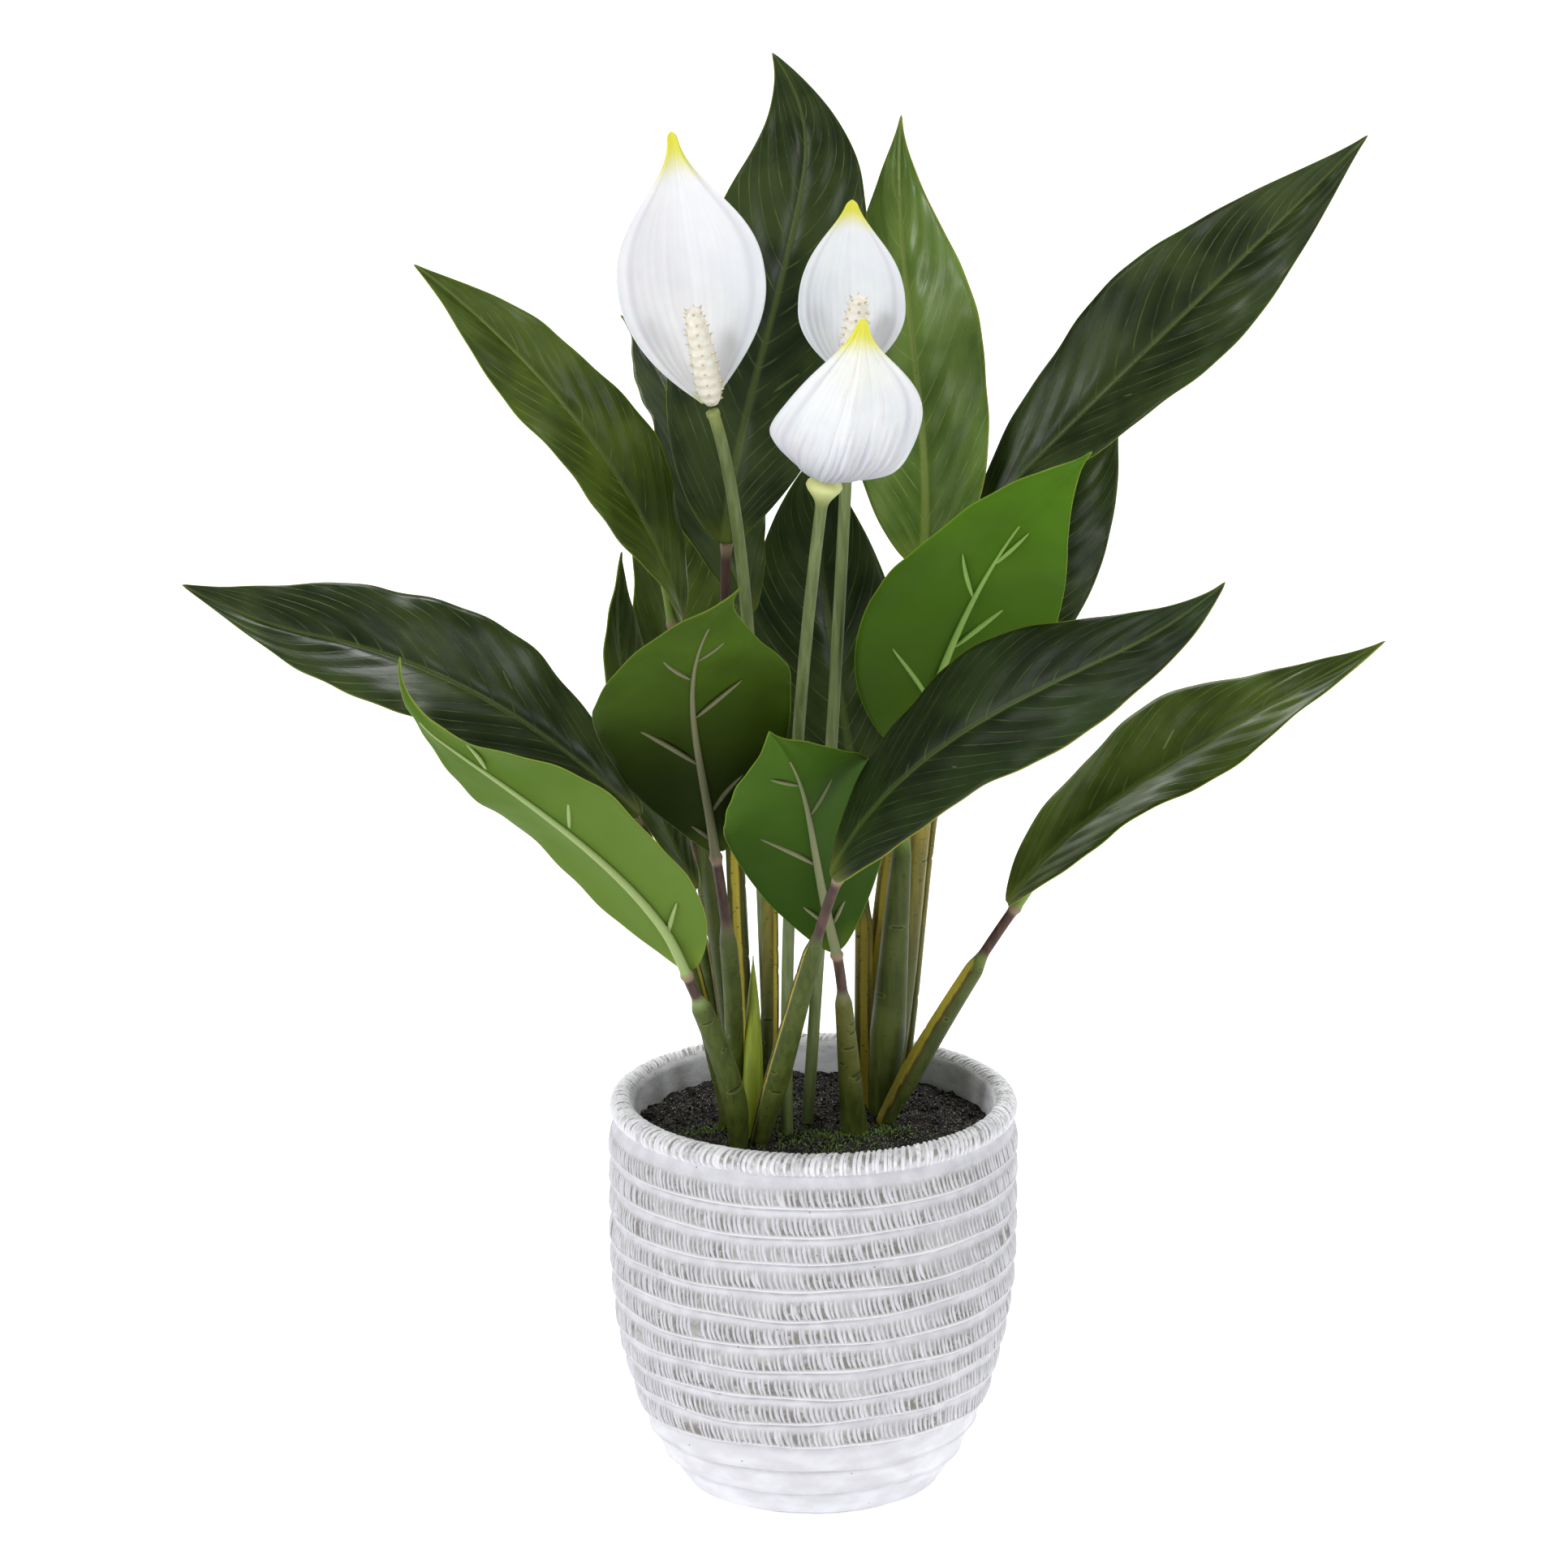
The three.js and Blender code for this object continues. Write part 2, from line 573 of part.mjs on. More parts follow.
let earth = solidOf(soilGeometry());
for (const leaf of leaves) {
  earth = earth.subtract(hole(stalkPlaces(leaf), stalk.sides));
  const geometry = shell(leaf, blade.rows, blade.columns, blade.thickness);
  plant.add(node(`leaf_${leaf.name}_blade`, geometry, colours[leaf.tone]));
  plant.add(node(`leaf_${leaf.name}_stalk`, geometryOf(stalkSolid(leaf)), colours.stalk));
}
for (const flower of flowers) {
  earth = earth.subtract(hole(flowerStemPlaces(flower), flowerStem.sides));
  const stem = tube(flowerStemPlaces(flower), flowerStem.sides);
  const bractGeometry = shell(bractLeaf(flower), bract.rows, bract.columns, bract.thickness);
  plant.add(node(`flower_${flower.name}_stem`, stem, colours.stem));
  plant.add(node(`flower_${flower.name}_spathe`, bractGeometry, colours.bract));
  plant.add(node(`flower_${flower.name}_spadix`, spadixGeometry(flower), colours.spadix));
}
earth = earth.subtract(hole(shootPlaces(), shoot.sides));
plant.add(node('shoot', tube(shootPlaces(), shoot.sides), colours.shoot));
plant.add(node('soil', geometryOf(earth), colours.soil, roughness.soil));

export default plant;
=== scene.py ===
# The potted peace lily: sixteen leaves, a shoot and three flowers in a hand-scored round pot.
import math
import bpy
import numpy as np
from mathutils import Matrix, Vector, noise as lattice


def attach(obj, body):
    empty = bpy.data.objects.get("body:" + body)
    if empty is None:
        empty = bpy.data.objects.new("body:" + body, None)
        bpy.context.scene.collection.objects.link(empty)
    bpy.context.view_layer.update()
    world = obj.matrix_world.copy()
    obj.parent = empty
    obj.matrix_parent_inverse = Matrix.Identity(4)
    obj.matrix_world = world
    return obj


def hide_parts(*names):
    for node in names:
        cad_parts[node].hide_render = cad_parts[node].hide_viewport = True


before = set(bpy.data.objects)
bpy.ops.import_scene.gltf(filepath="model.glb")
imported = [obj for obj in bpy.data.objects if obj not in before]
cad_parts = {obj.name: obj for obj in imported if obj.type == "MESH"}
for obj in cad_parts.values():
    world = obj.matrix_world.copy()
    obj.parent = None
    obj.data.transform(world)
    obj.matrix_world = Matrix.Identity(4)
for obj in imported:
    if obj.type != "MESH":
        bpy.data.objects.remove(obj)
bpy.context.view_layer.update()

scene = bpy.context.scene
metre = 0.001  # every size below is in millimetres until its mesh is made
turn = 2 * math.pi


# colours, meshes and node trees

def hexColour(text):
    channels = [int(text[i:i + 2], 16) / 255 for i in (1, 3, 5)]
    return [c / 12.92 if c <= 0.04045 else ((c + 0.055) / 1.055) ** 2.4 for c in channels] + [1.0]


def smoothStep(low, high, value):
    share = np.clip((np.asarray(value, float) - low) / (high - low), 0, 1)
    return share * share * (3 - 2 * share)


def bumps(points, size, seed=0.0):
    # smooth noise from -1 to 1, one value for each point
    flat = np.asarray(points, float).reshape(-1, 3) / size + seed
    return np.array([lattice.noise(Vector(p)) for p in flat]).reshape(np.shape(points)[:-1])


def ringFaces(rows, size):
    row = np.arange(rows - 1)[:, None] * size
    here = np.arange(size)[None, :]
    after = (here + 1) % size
    return np.stack([row + here, row + after, row + after + size, row + here + size], -1).reshape(-1, 4)


def makePiece(name, points, faces, material, values=None):
    # values holds one number, or one vector, for each point
    points = np.asarray(points).reshape(-1, 3) * metre
    mesh = bpy.data.meshes.new(name)
    mesh.from_pydata(points.tolist(), [], faces)
    for label, data in (values or {}).items():
        data = np.asarray(data, np.float32).ravel()
        kind, field = ("FLOAT_VECTOR", "vector") if len(data) == 3 * len(points) else ("FLOAT", "value")
        mesh.attributes.new(label, kind, "POINT").data.foreach_set(field, data)
    mesh.polygons.foreach_set("use_smooth", [True] * len(mesh.polygons))
    mesh.validate()
    piece = bpy.data.objects.new(name, mesh)
    scene.collection.objects.link(piece)
    if material:
        mesh.materials.append(material)
    return piece


def dress(piece, slot, *nodes):
    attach(piece, "root")
    if nodes:
        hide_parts(*nodes)


class Graph:
    def node(self, kind, inputs=(), **settings):
        made = self.tree.nodes.new(kind)
        for label, value in settings.items():
            setattr(made, label, value)
        for label, value in dict(inputs).items():
            self.plug(made.inputs[label], value)
        return made

    def plug(self, socket, value):
        if isinstance(value, bpy.types.NodeSocket):
            self.tree.links.new(value, socket)
        elif isinstance(value, str) and value.startswith("#"):
            socket.default_value = hexColour(value)
        else:
            socket.default_value = value

    def sum(self, operation, first, second=0.0):
        made = self.node("ShaderNodeMath", {0: first, 1: second}, operation=operation)
        return made.outputs[0]

    def step(self, value, low, high, start=0.0, end=1.0):
        inputs = {"Value": value, "From Min": low, "From Max": high, "To Min": start, "To Max": end}
        return self.node("ShaderNodeMapRange", inputs, interpolation_type="SMOOTHSTEP").outputs[0]


class Finish(Graph):
    def __init__(self, name, **constants):
        self.material = bpy.data.materials.new(name)
        self.material.use_nodes = True
        self.tree = self.material.node_tree
        self.shader = self.tree.nodes["Principled BSDF"]
        for label, value in constants.items():
            self.shader.inputs[label.replace("_", " ")].default_value = value
        self.place = self.node("ShaderNodeTexCoord").outputs["Object"]

    def own(self, label):
        return self.node("ShaderNodeAttribute", attribute_name=label).outputs["Fac"]

    def noise(self, size, detail=3.0, stretch=(1, 1, 1)):
        # size is in millimetres
        where = self.node("ShaderNodeMapping", {"Vector": self.place, "Scale": stretch}).outputs[0]
        inputs = {"Vector": where, "Scale": 1 / (size * metre), "Detail": detail}
        return self.node("ShaderNodeTexNoise", inputs).outputs[0]

    def dots(self, size):
        inputs = {"Vector": self.place, "Scale": 1 / (size * metre)}
        return self.node("ShaderNodeTexVoronoi", inputs).outputs["Distance"]

    def blend(self, share, first, second):
        made = self.node("ShaderNodeMix", data_type="RGBA")
        for index, value in ((0, share), (6, first), (7, second)):
            self.plug(made.inputs[index], value)
        return made.outputs[2]

    def finish(self, colour, roughness=None, height=None, depth=0.2, strength=0.6):
        self.plug(self.shader.inputs["Base Color"], colour)
        if roughness is not None:
            self.plug(self.shader.inputs["Roughness"], roughness)
        if height is not None:
            inputs = {"Height": height, "Distance": depth * metre, "Strength": strength}
            self.plug(self.shader.inputs["Normal"], self.node("ShaderNodeBump", inputs).outputs[0])
        return self.material


class Growth(Graph):
    # one Geometry Nodes tree, with its sizes as named inputs
    def __init__(self, name, sizes):
        self.tree = bpy.data.node_groups.new(name, "GeometryNodeTree")
        self.tree.interface.new_socket("Geometry", in_out="OUTPUT", socket_type="NodeSocketGeometry")
        self.tree.interface.new_socket("Geometry", in_out="INPUT", socket_type="NodeSocketGeometry")
        self.sizes = {}
        for label, value in sizes.items():
            kind = "NodeSocketInt" if isinstance(value, int) else "NodeSocketFloat"
            socket = self.tree.interface.new_socket(label, in_out="INPUT", socket_type=kind)
            self.sizes[socket.identifier] = value
        self.enter = self.node("NodeGroupInput")
        self.source = self.enter.outputs["Geometry"]

    def size(self, label):
        return self.enter.outputs[label]

    def own(self, label, kind="FLOAT"):
        made = self.node("GeometryNodeInputNamedAttribute", {"Name": label}, data_type=kind)
        return made.outputs["Attribute"]

    def random(self, low, high, seed):
        made = self.node("FunctionNodeRandomValue", data_type="FLOAT")
        for index, value in ((2, low), (3, high), (8, seed)):
            self.plug(made.inputs[index], value)
        return made.outputs[1]

    def vector(self, x=0.0, y=0.0, z=0.0):
        return self.node("ShaderNodeCombineXYZ", {0: x, 1: y, 2: z}).outputs[0]

    def rod(self, curve, radius, sides, share):
        # a tube that swells with share along the curve
        profile = self.node("GeometryNodeCurvePrimitiveCircle", {"Resolution": sides, "Radius": radius})
        inputs = {"Curve": curve, "Profile Curve": profile.outputs[0], "Fill Caps": True, "Scale": share}
        return self.node("GeometryNodeCurveToMesh", inputs).outputs[0]

    def spindle(self, power):
        # 0 at both ends of a curve and 1 in its middle
        along = self.node("GeometryNodeSplineParameter").outputs["Factor"]
        wave = self.sum("SINE", self.sum("MULTIPLY", along, math.pi))
        return self.sum("POWER", self.sum("MAXIMUM", wave, 0.02), power)

    def spread(self, points, shape, rotation, scale, material):
        inputs = {"Points": points, "Instance": shape, "Rotation": rotation, "Scale": scale}
        made = self.node("GeometryNodeInstanceOnPoints", inputs).outputs[0]
        made = self.node("GeometryNodeRealizeInstances", {"Geometry": made}).outputs[0]
        self.close(made, material)

    def spreadOnGuides(self, shape, axes, sizeKind, material):
        # the first of the shape's two axes points outward from its guide and the second one upward
        inputs = {"Primary Axis": self.own("outward", "FLOAT_VECTOR"),
            "Secondary Axis": self.own("upward", "FLOAT_VECTOR")}
        turned = self.node("FunctionNodeAxesToRotation", inputs, primary_axis=axes[0], secondary_axis=axes[1])
        points = self.node("GeometryNodeMeshToPoints", {"Mesh": self.source}).outputs[0]
        self.spread(points, shape, turned.outputs[0], self.own("size", sizeKind), material)

    def close(self, geometry, material):
        geometry = self.node("GeometryNodeSetShadeSmooth", {"Geometry": geometry}).outputs[0]
        inputs = {"Geometry": geometry, "Material": material}
        self.node("NodeGroupOutput", {"Geometry": self.node("GeometryNodeSetMaterial", inputs).outputs[0]})

    def grow(self, name, source):
        # runs the tree on source and leaves a plain mesh
        modifier = source.modifiers.new("growth", "NODES")
        modifier.node_group = self.tree
        for identifier, value in self.sizes.items():
            modifier[identifier] = value
        seen = source.evaluated_get(bpy.context.evaluated_depsgraph_get())
        mesh = bpy.data.meshes.new_from_object(seen)
        source.modifiers.remove(modifier)
        mesh.name = name
        piece = bpy.data.objects.new(name, mesh)
        scene.collection.objects.link(piece)
        return piece


def growFrom(guides, growth, name, slot, *nodes):
    # the guides are only there to be grown from, so they go
    dress(growth.grow(name, guides), slot, *nodes)
    bpy.data.objects.remove(guides)


print("frame and helpers ready")


# curves and blades, with the same rules as the solids

def unit(rows):
    return rows / np.linalg.norm(rows, axis=-1, keepdims=True)


def across(way, face):
    # face with its share along way taken out
    return unit(face - way * np.sum(way * face, -1, keepdims=True))


def curvePoints(handles, share):
    a, b, c, d = [np.asarray(p, float) for p in handles]
    s = np.asarray(share, float)[..., None]
    point = (1 - s) ** 3 * a + 3 * s * (1 - s) ** 2 * b + 3 * s * s * (1 - s) * c + s ** 3 * d
    way = 3 * ((1 - s) ** 2 * (b - a) + 2 * s * (1 - s) * (c - b) + s * s * (d - c))
    return point, unit(way)


def ribHandles(points):
    # the handles of a curve that passes through four points at equal steps
    a, b, c, d = [np.asarray(p, float) for p in points]
    return [a, -5 / 6 * a + 3 * b - 1.5 * c + d / 3, -5 / 6 * d + 3 * c - 1.5 * b + a / 3, d]


def bladeFrame(leaf, t):
    point, way = curvePoints(ribHandles(leaf["rib"]), t)
    start = bladeForm["hookStart"]
    hook = np.maximum(0, (np.asarray(t, float) - start) / (1 - start)) ** 2
    point = point + np.asarray(leaf.get("hook", (0, 0, 0)), float) * hook[..., None]
    up = across(way, np.asarray(leaf["face"], float))
    angle = (math.radians(leaf.get("twist", 0)) * np.asarray(t, float))[..., None]
    up = up * np.cos(angle) + np.cross(way, up) * np.sin(angle)
    return point, way, up, np.cross(way, up)


bladeForm = {
    "collarHalfWidth": 2.4,
    "tipHalfWidth": 0.5,
    "tipRound": 0.01,  # share of the length that ends round
    "footFullness": 0.8,  # below 1 the blade is full beside the stalk
    "tipTaper": 1.3,  # above 1 the blade narrows to a drip tip
    "tipCurve": 2,  # higher keeps the blade wide for longer before it narrows
    "hookStart": 0.75,  # share of the length where the tip starts to hook
    "wave": 2.2,  # the long waves of the margins
    "waves": 2.3,
    "wavePhases": (0.6, 2.4),
    "droop": 0.16,  # how far the halves curve down to their margins
    "rows": 150,
    "columns": 28,
    "thickness": 0.7,
    "edgeThickness": 0.35,
    "ribWidth": 2.2,  # of the pale line along the rib, at the stalk
    "ribNarrowing": 1.6,
    "veinBands": 10,  # broad corrugations along each half
    "veinSweep": 0.28,  # how far forward a vein runs on its way to the edge
    "veinCurve": 1.3,
    "veinDepth": 0.24,
    "underDepth": 0.2,  # share of the corrugations that shows on the underside
    "valleyDepth": 0.6,
    "valleyWidth": 1.2,
    "shoulderHeight": 0.45,  # the blade swells on both sides of the rib
    "shoulderAt": 4.5,
    "shoulderWidth": 2.8,
    "drift": 0.7,  # slow unevenness between rib and margins
    "ripple": 0.6,  # the fine ripple of the margins
    "roughness": 0.36,
    "underRoughness": 0.62,
}


def sided(value, v):
    # one value for both halves of a blade, or one for each
    return np.where(v < 0, *np.broadcast_to(value, 2))


def halfWidth(leaf, t, v):
    form = {**bladeForm, **leaf}
    belly = sided(form["belly"], v)
    rise = np.clip(1 - t / belly, 0, 1)
    fall = np.clip((t - belly) / (1 - belly), 0, 1)
    swell = (1 - rise * rise) ** sided(form["footFullness"], v)
    swell = swell * (1 - fall ** form["tipCurve"]) ** sided(form["tipTaper"], v)
    least = form["collarHalfWidth"] + (form["tipHalfWidth"] - form["collarHalfWidth"]) * t
    past = np.clip((t - 1 + form["tipRound"]) / form["tipRound"], 0, 0.97)
    return (least + sided(form["halves"], v) * swell) * np.sqrt(1 - past * past)


def bladePoint(leaf, t, v, extra=0.0):
    # the blade's middle surface at t along it and v across it, from -1 to 1
    t, v = np.broadcast_arrays(np.asarray(t, float), np.asarray(v, float))
    point, way, up, right = bladeFrame(leaf, t)
    half = halfWidth(leaf, t, v)
    fold = np.radians(sided(leaf["folds"], v))
    droop = sided(leaf.get("droop", bladeForm["droop"]), v)
    phase = turn * bladeForm["waves"] * t + sided(bladeForm["wavePhases"], v)
    wave = leaf.get("wave", bladeForm["wave"]) * np.sin(math.pi * t) * np.sin(phase)
    lift = half * (np.sin(fold) * np.abs(v) - droop * v * v) + wave * v * v
    return point + right * (half * v * np.cos(fold))[..., None] + up * (lift + extra)[..., None]


def veinPhase(t, v):
    return bladeForm["veinBands"] * (t - bladeForm["veinSweep"] * np.abs(v) ** bladeForm["veinCurve"])


def closedShell(name, leaf, rows, columns, relief, thickness, material, values):
    # relief(t, v, side) lifts the faces, and thickness(t, v) is the wall
    t = (np.arange(rows + 1) / rows)[:, None]
    v = np.linspace(-1, 1, columns + 1)[None, :]
    v = np.sign(v) * np.abs(v) ** 1.15  # a little finer beside the rib
    t, v = np.broadcast_arrays(t, v)
    up = bladeFrame(leaf, t)[2]
    wall = thickness(t, v)[..., None] / 2
    top = bladePoint(leaf, t, v, relief(t, v, 1)) + up * wall
    under = bladePoint(leaf, t, v, relief(t, v, 0)) - up * wall
    points = np.concatenate([top, under[:, ::-1]], 1)
    size = points.shape[1]
    faces = ringFaces(rows + 1, size).tolist()
    last = rows * size
    for i in range(size // 2 - 1):
        faces.append((i, size - 1 - i, size - 2 - i, i + 1))
        faces.append((last + i, last + i + 1, last + size - 2 - i, last + size - 1 - i))
    both = [np.concatenate([t, t], 1), np.concatenate([v, v[:, ::-1]], 1)]
    side = np.concatenate([np.ones_like(t), np.zeros_like(t)], 1)
    return makePiece(name, points, faces, material, values(*both, side))


def tubeRings(centres, ups, radii):
    # radii has a row for each centre and a column for each side, the first one facing up
    way = unit(np.gradient(centres, axis=0))
    up = across(way, ups)
    side = np.cross(way, up)
    angle = turn * np.arange(radii.shape[1]) / radii.shape[1]
    ring = up[:, None] * np.cos(angle)[None, :, None] + side[:, None] * np.sin(angle)[None, :, None]
    return centres[:, None] + ring * radii[..., None]


def tubeFaces(rows, sides, start=0):
    faces = (ringFaces(rows, sides) + start).tolist()
    faces.append([start + i for i in reversed(range(sides))])
    faces.append([start + (rows - 1) * sides + i for i in range(sides)])
    return faces


# leaves

# root is where the stalk stands, girths are its radii at the soil, at its widest and at the top of
# the sheath, and sheath is the share of the stalk that has one. bow bends the stalk, and gold is how
# golden it is. rib is four points along the blade's middle, face is what its upper side looks to,
# halves are the widths of its left and right half, folds their angles, and belly is where it is
# widest. twist turns it in degrees and hook moves its tip. tones names its finish. ribs are the raised
# side ribs under it: along and across the blade where one starts and ends, and its radius. The other
# words change a size in bladeForm or stalkForm for that leaf alone.
leaves = {
    "top_centre": dict(root=(-24.5, -2.5), girths=(3.6, 3.7, 3), sheath=0.7, tones="dark",
        rib=((-32, 10, 356), (-21, 22, 415), (-6, 44, 471), (-3, 66, 525)),
        face=(-0.1, -0.95, 0.3), halves=(33, 32), folds=(13, 13), belly=0.43, twist=25,
        tipTaper=1.1, hook=(-12, 0, 0)),
    "top_right": dict(root=(19, 30), girths=(4.2, 4.8, 4.6), sheath=0.75, tones="fresh",
        rib=((40, 26, 342), (39, 34, 398), (33, 54, 449), (32, 78, 499)),
        face=(-0.4, -0.9, 0.2), halves=(28, 28), folds=(16, 16), belly=0.42, twist=7,
        footFullness=0.6, tipTaper=1.6, gold=0.8, roughness=0.3),
    "far_right_high": dict(root=(27, 22), girths=(4.2, 4.8, 4.6), sheath=0.75, tones="dark",
        rib=((60, 22, 362), (107, 26, 410), (152, 32, 454), (200, 38, 501)),
        face=(-0.55, -0.5, 0.65), halves=(27, 26), folds=(25, 25), belly=0.46, twist=50,
        gold=0.9),
    "back_right": dict(root=(31, 33), girths=(3.6, 3.6, 2.8), sheath=0.7, tones="dark",
        rib=((52, 32, 285), (73, 42, 323), (93, 58, 361), (112, 78, 396)),
        face=(0, -0.95, 0.25), halves=(30, 22), folds=(10, 10), belly=0.47, twist=5,
        gold=0.5),
    "far_left_high": dict(root=(-25.5, 13), girths=(3.8, 4.2, 4.2), sheath=0.75, tones="mid",
        rib=((-48, -6, 331), (-68, -10, 381), (-102, -14, 428), (-143, -18, 467)),
        face=(0.7, -0.25, 0.7), halves=(28, 22), folds=(24, 24), belly=0.4, twist=-48),
    "far_left": dict(root=(-31, 4), girths=(3.2, 3.2, 2.4), sheath=0.7, tones="dark", bow=(3, 0, 0),
        rib=((-63, -18, 261), (-113, -26, 304), (-166, -36, 331), (-226, -46, 342)),
        face=(0.2, -0.45, 0.9), halves=(28, 28), folds=(22, 22), belly=0.44, twist=-30,
        tipTaper=(1.3, 1.05), hook=(0, 0, 14), ripple=1.0, roughness=0.34),
    "front_right_high": dict(root=(25, 6.5), girths=(4.6, 6.6, 3.2), sheath=0.7, tones="lime",
        rib=((36, 5, 277), (52, -23, 333), (72, -65, 382), (97, -112, 423)),
        face=(-0.15, 0.85, 0.5), halves=(31, 34), folds=(2, 2), belly=0.33, twist=-25,
        tipTaper=1.65, ribLength=0.68,
        ribs=((0.43, 0, 0.55, 0.41, 0.9), (0.54, 0, 0.67, -0.22, 0.8), (0.28, -0.02, 0.43, -0.39, 1.0),
            (0.13, -0.02, 0.26, 0.59, 1.0))),
    "front_left_high": dict(root=(-31.5, -8), girths=(3.6, 3.6, 3.2), sheath=0.65, tones="olive",
        rib=((-35, -38, 254), (-42, -67, 303), (-42, -103, 344), (-26, -142, 382)), bow=(8, 0, 0),
        face=(0.1, 0.9, 0.45), halves=(35, 35), folds=(9, 9), belly=0.52, twist=30,
        tipTaper=2.0,
        ribs=((0.59, 0, 0.68, 0.42, 0.8), (0.67, 0, 0.74, -0.4, 0.7), (0.43, 0, 0.54, -0.51, 0.9),
            (0.26, 0, 0.4, 0.58, 1.0), (0.11, -0.03, 0.21, -0.55, 1.0), (0.03, 0.1, 0.07, 0.55, 0.8))),
    "front_centre": dict(root=(15, -14.5), girths=(5, 4.4, 3), sheath=0.7, tones="grass",
        rib=((8, -31, 214), (0, -47, 257.5), (-5, -72, 289), (-16, -97, 316.5)),
        face=(-0.15, 0.9, 0.4), halves=(31, 31), folds=(20, 20), belly=(0.44, 0.52), twist=20, gold=0.2,
        tipTaper=(1.9, 1.1),
        ribs=((0.67, 0, 0.75, 0.39, 0.7), (0.49, 0, 0.59, -0.48, 0.8), (0.27, 0, 0.4, 0.6, 1.0),
            (0.07, -0.1, 0.12, -0.43, 0.9), (0.08, 0.15, 0.13, 0.45, 0.8))),
    "front_left_low": dict(root=(-27.5, -29.5), girths=(3.5, 4.5, 3.6), sheath=0.78, tones="pale",
        rib=((-45, -50, 213), (-78, -70, 263), (-123, -92, 305), (-152, -112, 336)), bow=(8, 0, 0),
        face=(0.1, 0.65, 0.75), halves=(27, 26), folds=(20, 14), belly=0.42, twist=-15,
        tipTaper=2.9, hook=(6, 0, 12),
        ribs=((0.62, -0.05, 0.71, -0.6, 0.8), (0.41, -0.05, 0.47, -0.46, 0.8), (0.1, 0.03, 0.16, -0.5, 0.9))),
    "front_right": dict(root=(-19.8, -25.5), girths=(3.5, 4.7, 3.4), sheath=0.68, tones="night",
        rib=((6, -70, 255), (44, -82, 305), (95, -88, 337), (145, -92, 364)),
        face=(-0.3, -0.35, 0.9), halves=(30, 25), folds=(6, 6), belly=0.4, twist=40,
        tipTaper=(1.7, 1.0), footFullness=(0.8, 0.5), hook=(0, 0, 6), roughness=0.46, grooveWidth=0.25),
    "far_right_low": dict(root=(26, -4), girths=(3.5, 4.6, 3.6), sheath=0.68, tones="mid",
        rib=((71, -6, 224), (110, -10, 265), (157, -14, 297), (206, -18, 327)), bow=(-3, 0, 0),
        face=(-0.35, -0.3, 0.9), halves=(27, 27), folds=(22, 22), belly=0.44, twist=15,
        tipTaper=(1.8, 1.2), ripple=0.4, grooveWidth=0.9, roughness=0.44),
    "small_left": dict(root=(-32, 20), girths=(3, 3, 2.6), sheath=0.7, tones="mid",
        rib=((-43, 10, 224.5), (-60, 12, 263.5), (-70, 18, 305.5), (-70, 32, 346.5)),
        face=(0.95, -0.3, 0.1), halves=(18, 18), folds=(19, 19), belly=0.43, twist=-15, roughness=0.55),
    "back_left_low": dict(root=(-22, 24), girths=(3.2, 3.2, 2.6), sheath=0.7, tones="mid",
        rib=((-43, 34, 247), (-47, 56, 295), (-52, 90, 338), (-57, 126, 377)),
        face=(0.6, -0.6, 0.5), halves=(26, 26), folds=(18, 18), belly=0.43),
    "back_left_high": dict(root=(-17, -11), girths=(3.3, 3.3, 2.5), sheath=0.45, tones="dark",
        rib=((-23, 28, 324), (-39, 46, 362), (-53, 74, 393), (-71, 104, 417)), bow=(5, -14, 0),
        face=(0.65, -0.4, 0.6), halves=(27, 27), folds=(19, 19), belly=0.4, twist=6,
        gold=0.7),
    "back_centre": dict(root=(19, 17), girths=(3.6, 3.7, 3.2), sheath=0.6, tones="dark",
        rib=((17, 28, 248), (10, 40, 289), (3, 54, 336), (2, 76, 373)),
        face=(0, -0.95, 0.3), halves=(29, 24.5), folds=(13, 13), belly=0.46,
        gold=0.7),
}

# deep and light are the upper side, under and shade the underside at the tip and at the stalk
leafTones = {
    "night": dict(deep="#17220b", light="#293a17", vein="#4c5f2a", under="#3f5f1c", shade="#2c4512",
        rim="#8a8f2c", rib="#4f6030", specular=0.22, slot="blade_dark"),
    "dark": dict(deep="#1e2a0f", light="#3a4922", vein="#5c6c34", under="#466323", shade="#324b15",
        rim="#7d8a2a", rib="#4f6030", specular=0.22, slot="blade_dark"),
    "mid": dict(deep="#32430c", light="#4e611d", vein="#72823a", under="#527128", shade="#3d5819",
        rim="#8c9a30", rib="#7b8f48", specular=0.22, slot="blade_mid"),
    "fresh": dict(deep="#4e6a22", light="#728e40", vein="#97a552", under="#5f8338", shade="#456422",
        rim="#a5a838", rib="#7b8f48", specular=0.32, slot="blade_mid"),
    "lime": dict(deep="#2c4212", light="#42601e", vein="#6a7f36", under="#4a7412", shade="#3c580c",
        rim="#76952c", rib="#82a450", specular=0.1, slot="blade_bright"),
    "olive": dict(deep="#2c4212", light="#42601e", vein="#6a7f36", under="#405b0b", shade="#243104",
        rim="#70842a", rib="#6f7050", specular=0.1, slot="blade_bright"),
    "grass": dict(deep="#2c4212", light="#42601e", vein="#6a7f36", under="#44651a", shade="#2f4a0e",
        rim="#76902c", rib="#7a7f5a", specular=0.1, slot="blade_bright"),
    "pale": dict(deep="#2c4212", light="#42601e", vein="#6a7f36", under="#4b681a", shade="#5f7a2e",
        rim="#8a9c3c", rib="#94a868", specular=0.1, slot="blade_bright"),
}


